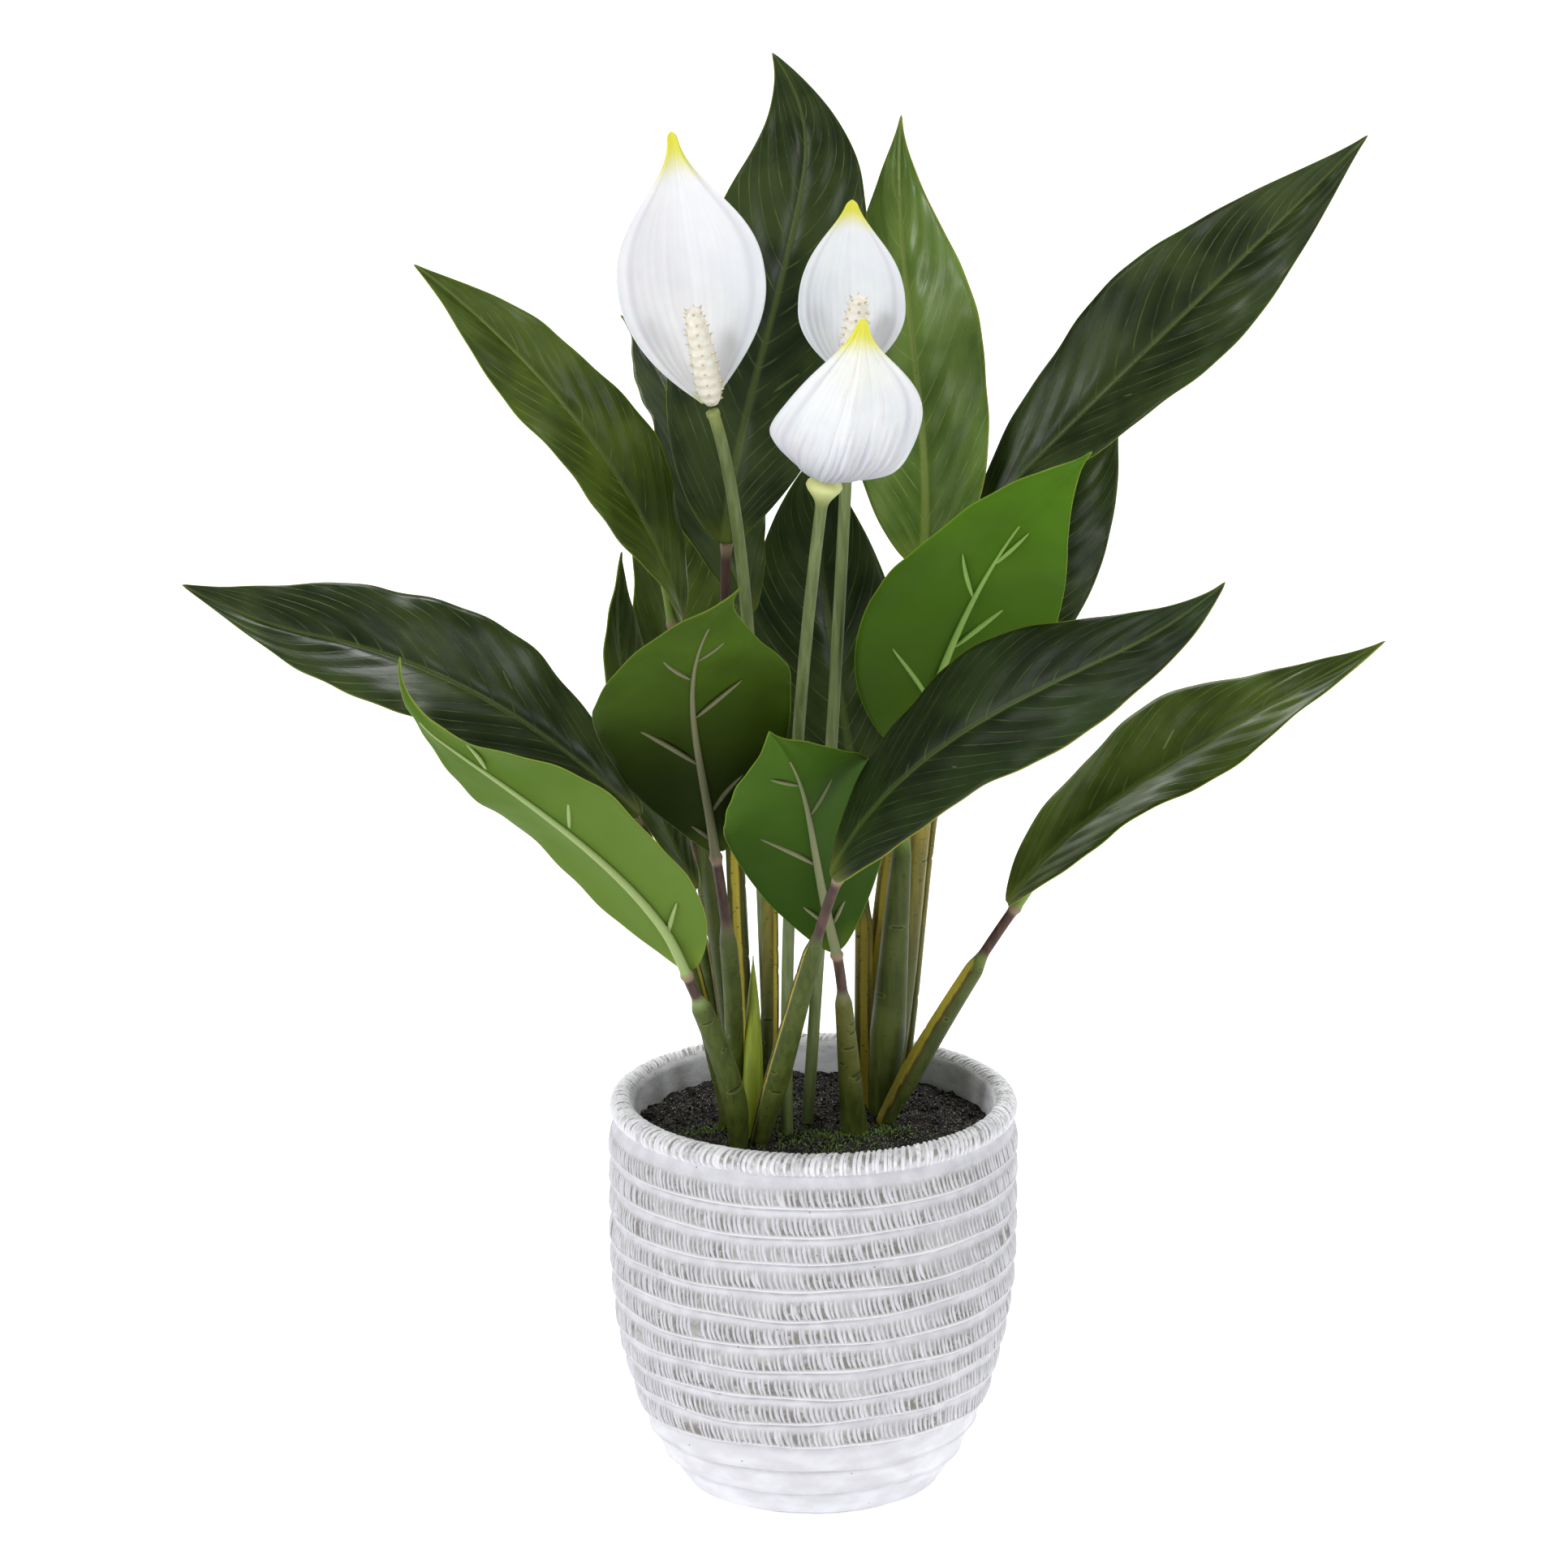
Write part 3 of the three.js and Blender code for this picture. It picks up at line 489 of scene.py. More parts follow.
def bladeFinish(name, tone):
    made = Finish(name, Specular_IOR_Level=tone["specular"])
    t, top = made.own("along"), made.own("topSide")
    phase, fromRib, fromEdge = made.own("veinPhase"), made.own("fromRib"), made.own("fromEdge")
    cloud = made.noise(30, 4)
    # painted highlight: the upper side is painted lighter along the crest of each corrugation
    crestHighlight = made.step(made.sum("COSINE", made.sum("MULTIPLY", phase, turn)), -1.0, 1.0)
    line = made.step(made.sum("PINGPONG", made.sum("MULTIPLY", phase, 2.0), 0.5), 0.07, 0.015)
    patchy = made.step(made.noise(9, 2), 0.4, 0.65, 0.1, 0.75)
    upper = made.blend(made.step(cloud, 0.38, 0.66), tone["deep"], tone["light"])
    # painted highlight: lighter colour along the corrugation crests
    upper = made.blend(made.sum("MULTIPLY", crestHighlight, 0.3), upper, tone["light"])
    upper = made.blend(made.sum("MULTIPLY", line, patchy), upper, tone["vein"])
    upper = made.blend(made.step(fromRib, 1.15, 0.4, 0.0, 0.6), upper, tone["vein"])
    lower = made.blend(made.step(t, 0.1, 0.75), tone["shade"], tone["under"])
    lower = made.blend(made.sum("MULTIPLY", made.step(cloud, 0.3, 0.75), 0.45), lower, tone["shade"])
    colour = made.blend(top, lower, upper)
    colour = made.blend(made.step(fromEdge, 0.5, 0.05, 0.0, 0.8), colour, tone["rim"])
    colour = made.blend(made.step(t, 0.07, 0.0, 0.0, 0.3), colour, tone["rim"])
    pores, veins = made.sum("MULTIPLY", made.noise(0.9, 3), 0.3), made.sum("MULTIPLY", line, top)
    cloudy = made.step(made.noise(14, 3), 0.3, 0.7, -0.05, 0.06)
    roughness = made.sum("ADD", made.own("roughness"), cloudy)
    return made.finish(colour, roughness, made.sum("SUBTRACT", pores, veins), 0.16, 0.5)


def bladeValues(leaf):
    form = {**bladeForm, **leaf}

    def values(t, v, side):
        half = halfWidth(leaf, t, v)
        return {
            "along": t,
            "topSide": side,
            "roughness": np.where(side > 0, form["roughness"], form["underRoughness"]),
            "veinPhase": veinPhase(t, v),
            "fromRib": half * np.abs(v) / (form["ribWidth"] - form["ribNarrowing"] * t),
            "fromEdge": half * (1 - np.abs(v)),
        }
    return values


def bladeRelief(leaf, seed):
    form = {**bladeForm, **leaf}

    def relief(t, v, side):
        ends = np.sin(math.pi * np.clip(t, 0, 1)) ** 0.5
        spread = (1 - np.abs(v)) * np.abs(v) * 4
        bands = turn * veinPhase(t, v)
        depth = form["veinDepth"] * (form["underDepth"] + (1 - form["underDepth"]) * side)
        fold = depth * np.cos(bands) * spread * ends
        drift = form["drift"] * np.sin(turn * (1.6 * t + 0.7 * v + seed)) * spread * ends
        curl = np.sin(turn * (5.3 * t + 3 * seed)) + np.sin(turn * (8.9 * t - seed) + 2 * np.sign(v))
        drift = drift + 0.5 * form["ripple"] * curl * np.abs(v) ** 4 * ends
        fromRib = halfWidth(leaf, t, v) * np.abs(v)
        beside = np.exp(-(((fromRib - form["shoulderAt"]) / form["shoulderWidth"]) ** 2))
        swell = form["shoulderHeight"] * (0.75 + 0.25 * np.cos(bands + 0.8)) * beside
        valley = form["valleyDepth"] * np.exp(-((fromRib / form["valleyWidth"]) ** 2)) * ends
        return fold + drift + (swell * ends - valley) * side
    return relief


def bladeWall(t, v):
    thick, edge = bladeForm["thickness"], bladeForm["edgeThickness"]
    return edge + (thick - edge) * (1 - np.abs(v) ** 3)


stalkForm = {
    "neckRadius": 1.9,
    "collarRadius": 2.5,
    "collarStart": 0.93,  # share of the stalk where the collar's colour starts
    "collarLength": 0.035,
    "collarDrop": 3.25,  # from the blade's middle surface down to the stalk's end
    "lowHandle": 0.35,  # how far the stalk's curve is pulled at its foot and at its top
    "highHandle": 0.15,
    "bellyAt": 0.2,
    "sheathFade": 0.07,
    "groove": 0.38,
    "grooveWidth": 0.5,
    "lip": 0.1,
    "lipAt": 0.85,
    "lipWidth": 0.25,
    "sides": 28,
    "steps": 260,
    "ribLength": 0.82,
    "ribSteps": 70,
    "ribEndRadius": 0.35,
    "ribDrop": 0.85,  # how far the rib's upper side lies under the blade's middle at the collar
    "scarDepth": 0.3,
    "scarWidth": 0.7,
    "scars": 9,
    "gold": 0.0,
    "sideRibSteps": 12,
    "sideRibSides": 8,
}

sideRibs = [(0.1, -0.46), (0.26, 0.46), (0.42, -0.46), (0.58, 0.46)]  # root along the blade, reach across it

moundForm = {
    "radius": 65.4,  # the pot's inside
    "edgeHeight": 136.5,  # the soil's height beside the pot
    "rise": 3.6,
    "lumps": 0.5,
    "standing": 0.4,  # the soil closes this far up round each stalk
    "footDepth": 9,  # how far each stalk runs on below the soil
}


def soilHeight(x, y):
    share = np.hypot(x, y) / moundForm["radius"]
    lumps = moundForm["lumps"] * np.sin(x * 0.31 + 1) * np.cos(y * 0.27)
    return moundForm["edgeHeight"] + moundForm["rise"] * (1 - share * share) + lumps


def standOnSoil(spot):
    x, y = spot
    return np.array([x, y, soilHeight(x, y) + moundForm["standing"]])


def withFoot(centres):
    # one more point below the first, in the soil
    return np.concatenate([[centres[0] - (0, 0, moundForm["footDepth"])], centres])


def underBlade(leaf, t, v, drop):
    up = bladeFrame(leaf, t)[2]
    return bladePoint(leaf, t, v) - up * np.asarray(drop, float)[..., None], up


def stalkCurve(leaf):
    form = stalkForm
    point, way, up, right = bladeFrame(leaf, 0.0)
    collar = underBlade(leaf, 0.0, 0.0, form["collarDrop"])[0]
    root = standOnSoil(leaf["root"])
    reach = collar - root
    low = root + form["lowHandle"] * reach + np.asarray(leaf.get("bow", (0, 0, 0)), float)
    high = collar - form["highHandle"] * np.linalg.norm(reach) * way
    return [root, low, high, collar], up


def stalkScars(leaf, u, angle, length, seed):
    # where the scars of old leaves cut into the sheath
    form = stalkForm
    draws = np.random.default_rng(seed)
    scars = np.zeros((len(u), len(angle)))
    for at, place, reach in draws.uniform((0.04, 0, 0.3), (leaf["sheath"], turn, 1.0), (form["scars"], 3)):
        away = np.abs((angle - place + math.pi) % turn - math.pi)
        along = (u[:, None] - at) * length / form["scarWidth"]
        scars += np.exp(-(along ** 2)) * np.exp(-((away / reach) ** 4))
    return scars


def stalkParts(leaf, seed):
    form = {**stalkForm, **leaf}
    handles, up = stalkCurve(leaf)
    u = np.linspace(0, 1, form["steps"])
    centres, way = curvePoints(handles, u)
    length = np.linalg.norm(np.diff(centres, axis=0), axis=1).sum()
    girth = np.interp(u, [0, form["bellyAt"], form["sheath"]], form["girths"])
    inSheath = smoothStep(form["sheath"] + 0.03, form["sheath"] - form["sheathFade"], u)
    girth = girth * inSheath + form["neckRadius"] * (1 - inSheath)
    collar = np.exp(-(((u - 1.0) / form["collarLength"]) ** 2))
    girth = girth + (form["collarRadius"] - form["neckRadius"]) * collar
    angle = turn * np.arange(form["sides"]) / form["sides"]
    scars = stalkScars(leaf, u, angle, length, seed)
    angle = np.minimum(angle, turn - angle)[None, :]
    groove = np.exp(-((angle / form["grooveWidth"]) ** 2)) * inSheath[:, None]
    lip = np.exp(-(((angle - form["lipAt"]) / form["lipWidth"]) ** 2)) * inSheath[:, None]
    radii = girth[:, None] * (1 - form["groove"] * groove + form["lip"] * lip)
    radii = radii - form["scarDepth"] * scars * (1 - groove) * inSheath[:, None]
    t = np.linspace(0, form["ribLength"], form["ribSteps"])[1:]
    rib = form["neckRadius"] + (form["ribEndRadius"] - form["neckRadius"]) * (t / t[-1])
    settle = smoothStep(0.0, 0.12, t)
    drop = (form["ribDrop"] + form["collarRadius"]) * (1 - settle) + rib * settle
    ribCentres, ribUps = underBlade(leaf, t, np.zeros_like(t), drop)
    centres = np.concatenate([withFoot(centres), ribCentres])
    ups = np.concatenate([[up], np.repeat(up[None], len(u), 0), ribUps])
    radii = np.concatenate([radii[:1], radii, np.repeat(rib[:, None], form["sides"], 1)])
    bare = np.zeros((len(t), form["sides"]))

    def full(values):
        # the same all round the stalk, and none of it on the rib
        rows = np.concatenate([[values[0]], values, np.zeros(len(t))])
        return np.repeat(rows[:, None], form["sides"], 1).ravel()

    neck = smoothStep(form["sheath"] - 0.02, form["sheath"] + 0.04, u) * smoothStep(1.0, 0.95, u)
    return {
        "points": [tubeRings(centres, ups, radii).reshape(-1, 3)],
        "faces": tubeFaces(len(centres), form["sides"]),
        "sheath": [full(inSheath)],
        "neck": [full(neck)],
        "collar": [full(smoothStep(form["collarStart"], 0.98, u))],
        "groove": [np.concatenate([groove[:1], groove, bare]).ravel()],
        "scar": [np.concatenate([scars[:1], scars, bare]).ravel()],
        "gold": [full(form["gold"] * smoothStep(0.1, 0.5, u))],
    }


def addSideRibs(parts, leaf):
    steps, sides = stalkForm["sideRibSteps"], stalkForm["sideRibSides"]
    s = np.linspace(0, 1, steps)
    for row in leaf.get("ribs", [(t, 0.0, t + 0.1, v, 1.0) for t, v in sideRibs]):
        t0, v0, t1, v1, radius = row
        girth = radius * (0.25 + 0.75 * np.sin(math.pi * s ** 0.8) ** 0.7)
        centres, ups = underBlade(leaf, t0 + (t1 - t0) * s, v0 + (v1 - v0) * s, girth)
        start = sum(len(p) for p in parts["points"])
        rings = tubeRings(centres, ups, np.repeat(girth[:, None], sides, 1)).reshape(-1, 3)
        parts["points"].append(rings)
        parts["faces"] += tubeFaces(steps, sides, start)
        for label in ("sheath", "neck", "collar", "groove", "scar", "gold"):
            parts[label].append(np.zeros(len(rings)))


# the pale ring round each scar is a painted highlight
stalkTones = dict(foot="#4e5a1e", body="#3a4516", pale="#58642c", inner="#b8aa3c", seam="#4c3a16",
    scarHighlight="#76803c", neck="#40302c", purple="#5c4236", collar="#8f7a64", scar="#252c0c", gold="#a8963c",
    bronze="#857838")


def stalkFinish(name, rib):
    made = Finish(name, Specular_IOR_Level=0.27)
    streak = made.noise(2.2, 4, (1, 1, 0.12))
    tones = stalkTones
    green = made.blend(made.step(streak, 0.3, 0.7), tones["body"], tones["foot"])
    green = made.blend(made.step(made.noise(14, 2), 0.42, 0.7, 0.0, 0.6), green, tones["pale"])
    gilded = made.blend(made.step(streak, 0.35, 0.65), tones["gold"], tones["bronze"])
    gold = made.own("gold")
    green = made.blend(gold, green, gilded)
    scar, groove = made.own("scar"), made.own("groove")
    # painted highlight: a pale ring round the edge of each scar
    green = made.blend(made.sum("MULTIPLY", made.step(scar, 0.15, 0.35), 0.4), green, tones["scarHighlight"])
    green = made.blend(made.step(scar, 0.4, 0.8, 0.0, 0.8), green, tones["scar"])
    ragged = made.sum("ADD", groove, made.sum("MULTIPLY", made.sum("SUBTRACT", streak, 0.5), 0.5))
    plain = made.step(gold, 1.0, 0.2, 0.25, 1.0)
    seam = made.sum("MULTIPLY", made.step(ragged, 0.12, 0.3, 0.0, 0.8), plain)
    green = made.blend(seam, green, tones["seam"])
    green = made.blend(made.sum("MULTIPLY", made.step(ragged, 0.3, 0.6), plain), green, tones["inner"])
    colour = made.blend(made.own("sheath"), rib, green)
    purple = made.blend(made.step(streak, 0.35, 0.7), tones["neck"], tones["purple"])
    colour = made.blend(made.own("neck"), colour, purple)
    colour = made.blend(made.own("collar"), colour, tones["collar"])
    speck = made.step(made.noise(1.6, 2, (1, 1, 2)), 0.62, 0.72, 0.0, 0.6)
    colour = made.blend(made.sum("MULTIPLY", speck, made.own("sheath")), colour, tones["scar"])
    return made.finish(colour, made.step(streak, 0.3, 0.7, 0.42, 0.6), streak, 0.22, 0.5)


bladeFinishes = {key: bladeFinish("leaf_" + key, tone) for key, tone in leafTones.items()}
stalkFinishes = {key: stalkFinish("stalk_" + key, tone["rib"]) for key, tone in leafTones.items()}


def makeLeaf(index, name, leaf):
    # index seeds the leaf's own unevenness and scars
    tones = leaf["tones"]
    blade = closedShell("lily_" + name + "_blade", leaf, bladeForm["rows"], bladeForm["columns"],
        bladeRelief(leaf, index * 0.37), bladeWall, bladeFinishes[tones], bladeValues(leaf))
    dress(blade, leafTones[tones]["slot"], "leaf_" + name + "_blade")
    parts = stalkParts(leaf, 40 + index)
    addSideRibs(parts, leaf)
    points, faces = np.concatenate(parts.pop("points")), parts.pop("faces")
    values = {label: np.concatenate(rows) for label, rows in parts.items()}
    stalk = makePiece("lily_" + name + "_stalk", points, faces, stalkFinishes[tones], values)
    dress(stalk, "stalk", "leaf_" + name + "_stalk")


for index, (name, leaf) in enumerate(leaves.items()):
    makeLeaf(index, name, leaf)
print("leaves made:", len(leaves))


# flowers and the young shoot

# root, bow and bend shape the stem, top is where it ends, collar is the radius of its end and where it
# starts to widen, and knob rounds that end off. The spathe has the blade's words. cup is how deep its
# halves are, curl how far the margins roll back from rollFrom, and tint where the yellow tip starts
# and is full. spadixTip is the spadix's tip.
flowers = {
    "left": dict(root=(-15.5, 8), top=(-36.5, -15, 412), bow=(3, 4, 0), bend=(7, -4, 32),
        rib=((-38, -10, 414), (-43, -6, 445), (-47, -5, 480), (-51, -12, 514)),
        face=(0.05, -1, 0.2), halves=(24.2, 24.7), cup=0.3, belly=0.46, tipTaper=3.0,
        spadixTip=(-43.5, -24, 453), seed=1.3, curl=2.0, tint=(0.77, 1.0), collar=(2.5, 0.985)),
    "back": dict(root=(-2.2, -5.5), top=(13, -13, 420), bow=(1, 0, 0),
        rib=((13, -8.5, 423), (13, -5, 443), (13, -3, 466), (13.6, -8, 488)),
        face=(0.05, -1, 0.3), halves=(16.8, 17.3), cup=0.3, belly=0.4, tipTaper=1.95,
        spadixTip=(16, -20, 456), seed=4.1, curl=0.8, tint=(0.78, 1.0), blush=0.06, collar=(3.0, 0.985)),
    "front": dict(root=(-9.6, -17), top=(4, -44, 395.5), bow=(-6, 0, 0),
        rib=((4, -45.5, 395), (8.5, -62, 404), (13.5, -74.5, 428.5), (17, -101, 468)),
        face=(-0.15, 1, 0.17), halves=(25, 22.5), cup=(0.34, 0.6), belly=(0.55, 0.38),
        footFullness=(1.0, 0.6), tipTaper=(2.4, 1.7), wrinkle=1.1, pleats=9, pleatDepth=0.9,
        spadixTip=(10, -52, 424), seed=7.7, curl=3.0, rollFrom=0.62, tint=(0.84, 1.0), blush=0.25,
        paintedShade=0.9, collar=(7.0, 0.945), knob=1.0),
}

bractForm = {
    "footFullness": 1.15,
    "tipTaper": 2.8,
    "tipCurve": 2.5,
    "tipHalfWidth": 2.0,
    "tipRound": 0.035,
    "wave": 0.8,
    "rows": 160,
    "columns": 72,
    "thickness": 0.9,
    "edgeThinning": 0.45,
    "wrinkle": 0.14,
    "pleats": 7,
    "pleatDepth": 0.1,
    "keel": 0.3,  # the groove along the middle
    "keelWidth": 0.05,
    "rollFrom": 0.78,
    "blush": 0.0,  # yellow that spreads over the upper part
    # painted shade: how much grey shade is painted over the spathe's lower part
    "paintedShade": 0.0,  # grey over the lower part
}

flowerForm = {
    "stemRadius": 2.2,
    "stemHandles": (0.35, 0.7),
    "bend": (0, 0, 0),
    "collarEnd": 0.99,
    "knob": 0.0,
    "knobStart": 0.982,
    "stemSides": 24,
    "stemSteps": 200,
    "spadixLift": 3.0,  # from the stem's end to the spadix's foot
    "spadixGirths": (2.6, 4.5, 4.8, 4.1, 2.7),  # radii from the foot to the tip
    "girthsAt": (0, 0.12, 0.35, 0.7, 1),
    "domeStart": 0.9,
    "spadixSteps": 110,
    "spadixSides": 30,
    "rings": 10,  # swellings along the spadix, with a ring of knobs on each
    "ringDepth": 0.24,
    "knobsPerRing": 6,
    "knobSides": 8,
    "knobRadius": 0.62,
    "knobPoint": 0.08,
    "knobHeight": 1.7,
    "knobSink": 0.35,
    "knobLean": 0.35,  # towards the spadix's tip, and more from leanFrom on
    "leanFrom": 0.8,
    "topLean": 2.5,
}

# painted shade: the grey for the spathe's lower part and for the band along its margins
bractTones = dict(white="#eef0f6", bright="#f5f6fa", vein="#dfe3ee", blush="#f0efb4", paintedShade="#c9ccd6",
    band="#d3d6e0", tip="#e2e14e", foot="#c6cf86")
spadixTones = dict(deep="#f2ebd9", light="#fdfaf0", knobDeep="#d6c9a6", knobLight="#efe6cd")
stemTones = dict(deep="#66753f", light="#86935e", top="#a3ad62", shade="#5d6c38", knob="#dfe39c")


def bractFinish():
    made = Finish("bract_white", Roughness=0.55, Specular_IOR_Level=0.3, Subsurface_Weight=0.15,
        Subsurface_Scale=0.004)
    tones = bractTones
    t, v = made.own("along"), made.own("across")
    white = made.blend(made.step(made.noise(16, 2), 0.35, 0.7), tones["white"], tones["bright"])
    vein = made.step(made.sum("PINGPONG", made.sum("MULTIPLY", v, 11.0), 0.5), 0.16, 0.04, 0.0, 0.16)
    white = made.blend(vein, white, tones["vein"])
    white = made.blend(made.own("blush"), white, tones["blush"])
    # painted shade: grey painted over the lower part of the spathe
    white = made.blend(made.own("paintedShade"), white, tones["paintedShade"])
    rim = made.sum("ABSOLUTE", v)
    # painted shade: a greyer band where the margins begin to roll back
    band = made.sum("MULTIPLY", made.step(rim, 0.72, 0.8), made.step(rim, 0.9, 0.82))
    white = made.blend(made.sum("MULTIPLY", band, 0.5), white, tones["band"])
    tint = made.sum("ADD", made.own("tint"), made.sum("MULTIPLY", made.noise(5, 3), 0.12))
    tinted = made.blend(made.step(tint, 0.05, 1.0), white, tones["tip"])
    tinted = made.blend(made.step(t, 0.07, 0.0), tinted, tones["foot"])
    return made.finish(tinted, None, made.noise(2.4, 3), 0.2, 0.2)


def spadixFinish():
    made = Finish("spadix_cream", Roughness=0.6)
    colour = made.blend(made.step(made.noise(2.0, 3), 0.35, 0.7), spadixTones["deep"], spadixTones["light"])
    return made.finish(colour, None, made.noise(0.6, 2), 0.15, 0.5)


def knobFinish():
    made = Finish("spadix_knob_buff", Roughness=0.6)
    cloud = made.step(made.noise(1.2, 3), 0.35, 0.7)
    return made.finish(made.blend(cloud, spadixTones["knobDeep"], spadixTones["knobLight"]))


def stemFinish():
    made = Finish("flower_stem_green", Specular_IOR_Level=0.45)
    tones = stemTones
    streak = made.noise(1.8, 4, (1, 1, 0.1))
    colour = made.blend(made.step(streak, 0.3, 0.7), tones["deep"], tones["light"])
    colour = made.blend(made.step(made.own("height"), 0.93, 1.0, 0.0, 0.7), colour, tones["top"])
    colour = made.blend(made.step(made.noise(20, 2), 0.4, 0.7, 0.0, 0.4), colour, tones["shade"])
    colour = made.blend(made.own("knob"), colour, tones["knob"])
    return made.finish(colour, made.step(streak, 0.3, 0.7, 0.4, 0.55), streak, 0.15, 0.4)


def bractLeaf(flower):
    return {**bractForm, **flower, "folds": 0, "droop": -np.array(flower["cup"])}


def crinkle(t, v, along, wide, seed):
    # smooth noise over the spathe, with this many bumps along it and across it
    return bumps(np.stack([v * wide, t * along, np.full_like(t, seed)], -1), 1.0)


def bractRelief(leaf):
    seed = leaf["seed"]

    def relief(t, v, side):
        ends = np.sin(math.pi * np.clip(t, 0, 1)) ** 0.6
        crease = 1.2 * crinkle(t, v, 3.0, 3.2, seed) + crinkle(t, v, 2.2, 9.0, seed + 5)
        ruck = 0.8 * crinkle(t, v, 6.0, 15.0, seed + 9)
        sway = 0.5 * crinkle(t, v, 5.0, 2.0, seed + 2)
        keel = leaf["keel"] * np.exp(-((v / leaf["keelWidth"]) ** 2))
        roll = leaf["curl"] * smoothStep(leaf["rollFrom"], 1.0, np.abs(v))
        near = smoothStep(0.02, 0.12, t) * smoothStep(0.85, 0.3, t) * (1 - 0.6 * smoothStep(-0.1, 0.6, v))
        pleat = leaf["pleatDepth"] * np.cos(turn * (leaf["pleats"] * v + sway)) * near
        return (leaf["wrinkle"] * (crease + ruck) * (1 - v ** 6) + pleat - keel - roll) * ends
    return relief


def bractValues(leaf):
    def values(t, v, side):
        low, high = leaf["tint"]
        edge = np.abs(v) ** 3 * 0.04
        return {
            "along": t,
            "across": v,
            "tint": smoothStep(low, high, t + edge),
            "blush": leaf["blush"] * smoothStep(0.6, 0.92, t) * (1 - 0.6 * v * v),
            # painted shade: full near the spathe's foot and gone past about half its length
            "paintedShade": leaf["paintedShade"] * smoothStep(0.55, 0.1, t),
        }
    return values


def bractWall(t, v):
    return bractForm["thickness"] * (1 - bractForm["edgeThinning"] * np.abs(v) ** 4)


def makeStem(name, flower, material):
    form = {**flowerForm, **flower}
    root, top = standOnSoil(form["root"]), np.array(form["top"], float)
    u = np.linspace(0, 1, form["stemSteps"])
    handles = [root + share * (top - root) + form["bow"] for share in form["stemHandles"]]
    handles[1] = handles[1] + form["bend"]
    centres = withFoot(curvePoints([root, *handles, top], u)[0])
    u = np.concatenate([[0], u])
    collarRadius, collarStart = form["collar"]
    flare = smoothStep(collarStart, form["collarEnd"], u) ** 1.5
    dome = np.clip((u - form["knobStart"]) / (1 - form["knobStart"]), 0, 0.9)
    girth = form["stemRadius"] + (collarRadius - form["stemRadius"]) * flare
    girth = girth * np.sqrt(1 - form["knob"] * dome ** 2)
    knob = form["knob"] * smoothStep(0.95, 0.985, u)
    radii, height, knob = [np.repeat(row[:, None], form["stemSides"], 1) for row in (girth, u, knob)]
    rings = tubeRings(centres, np.tile([0, -1.0, 0], (len(u), 1)), radii)
    return makePiece(name, rings, tubeFaces(*radii.shape), material, {"height": height, "knob": knob})


def knobGrowth(material):
    # a pointed knob at each guide
    sizes = {label: flowerForm[key] * metre for label, key in
        (("Knob radius", "knobRadius"), ("Knob height", "knobHeight"), ("Knob sink", "knobSink"))}
    made = Growth("spadix_knobs", sizes)
    inputs = {"Vertices": flowerForm["knobSides"], "Radius Top": flowerForm["knobPoint"] * metre,
        "Radius Bottom": made.size("Knob radius"), "Depth": made.size("Knob height")}
    cone = made.node("GeometryNodeMeshCone", inputs).outputs[0]
    down = made.vector(0.0, 0.0, made.sum("MULTIPLY", made.size("Knob sink"), -1.0))
    cone = made.node("GeometryNodeTransform", {"Geometry": cone, "Translation": down}).outputs[0]
    made.spreadOnGuides(cone, "ZY", "FLOAT", material)
    return made


def spadixGirth(s):
    form = flowerForm
    share = np.clip((s - form["domeStart"]) / (1 - form["domeStart"]), 0, 0.99)
    swell = form["ringDepth"] * np.cos(turn * (form["rings"] * s - 0.5))
    return (np.interp(s, form["girthsAt"], form["spadixGirths"]) + swell) * np.sqrt(1 - share * share)


def spadixGuides(name, flower):
    # the guides of the knobs, and the rings of the spadix itself
    form = flowerForm
    foot = np.array(flower["top"], float) + (0, 0, form["spadixLift"])
    tip = np.array(flower["spadixTip"], float)
    way = unit(tip - foot)
    up = across(way, np.array([1.0, 0, 0]))
    side = np.cross(way, up)
    i = np.arange(form["rings"] * form["knobsPerRing"])
    ring = i // form["knobsPerRing"]
    draws = np.random.default_rng(int(flower["seed"] * 10))
    s = (ring + 0.5 + draws.uniform(-0.1, 0.1, len(i))) / form["rings"]
    angle = turn * ((i + 0.5) / form["knobsPerRing"] + draws.uniform(-0.02, 0.02, len(i)))[:, None]
    outward = up * np.cos(angle) + side * np.sin(angle)
    places = foot + s[:, None] * (tip - foot) + outward * spadixGirth(s)[:, None]
    lean = form["knobLean"] + form["topLean"] * np.maximum(0, s - form["leanFrom"])
    values = {"outward": unit(outward + way * lean[:, None]), "upward": np.tile(way, (len(i), 1)),
        "size": draws.uniform(0.75, 1.25, len(i))}
    guides = makePiece(name, places, [], None, values)
    rows = np.linspace(0, 1, form["spadixSteps"])
    core = tubeRings(foot + np.outer(rows, tip - foot), np.tile(up, (len(rows), 1)),
        np.repeat(spadixGirth(rows)[:, None], form["spadixSides"], 1))
    return guides, core


bractMaterial, spadixMaterial, stemMaterial = bractFinish(), spadixFinish(), stemFinish()
knobs = knobGrowth(knobFinish())

for name, flower in flowers.items():
    leaf = bractLeaf(flower)
    bract = closedShell("lily_" + name + "_spathe", leaf, bractForm["rows"], bractForm["columns"],
        bractRelief(leaf), bractWall, bractMaterial, bractValues(leaf))
    dress(bract, "spathe", "flower_" + name + "_spathe")
    dress(makeStem("lily_" + name + "_stem", flower, stemMaterial), "flower_stem", "flower_" + name + "_stem")
    guides, core = spadixGuides("guides_" + name, flower)
    growFrom(guides, knobs, "lily_" + name + "_knobs", "spadix")
    body = makePiece("lily_" + name + "_spadix", core, tubeFaces(*core.shape[:2]), spadixMaterial)
    dress(body, "spadix", "flower_" + name + "_spadix")
print("flowers made:", len(flowers))

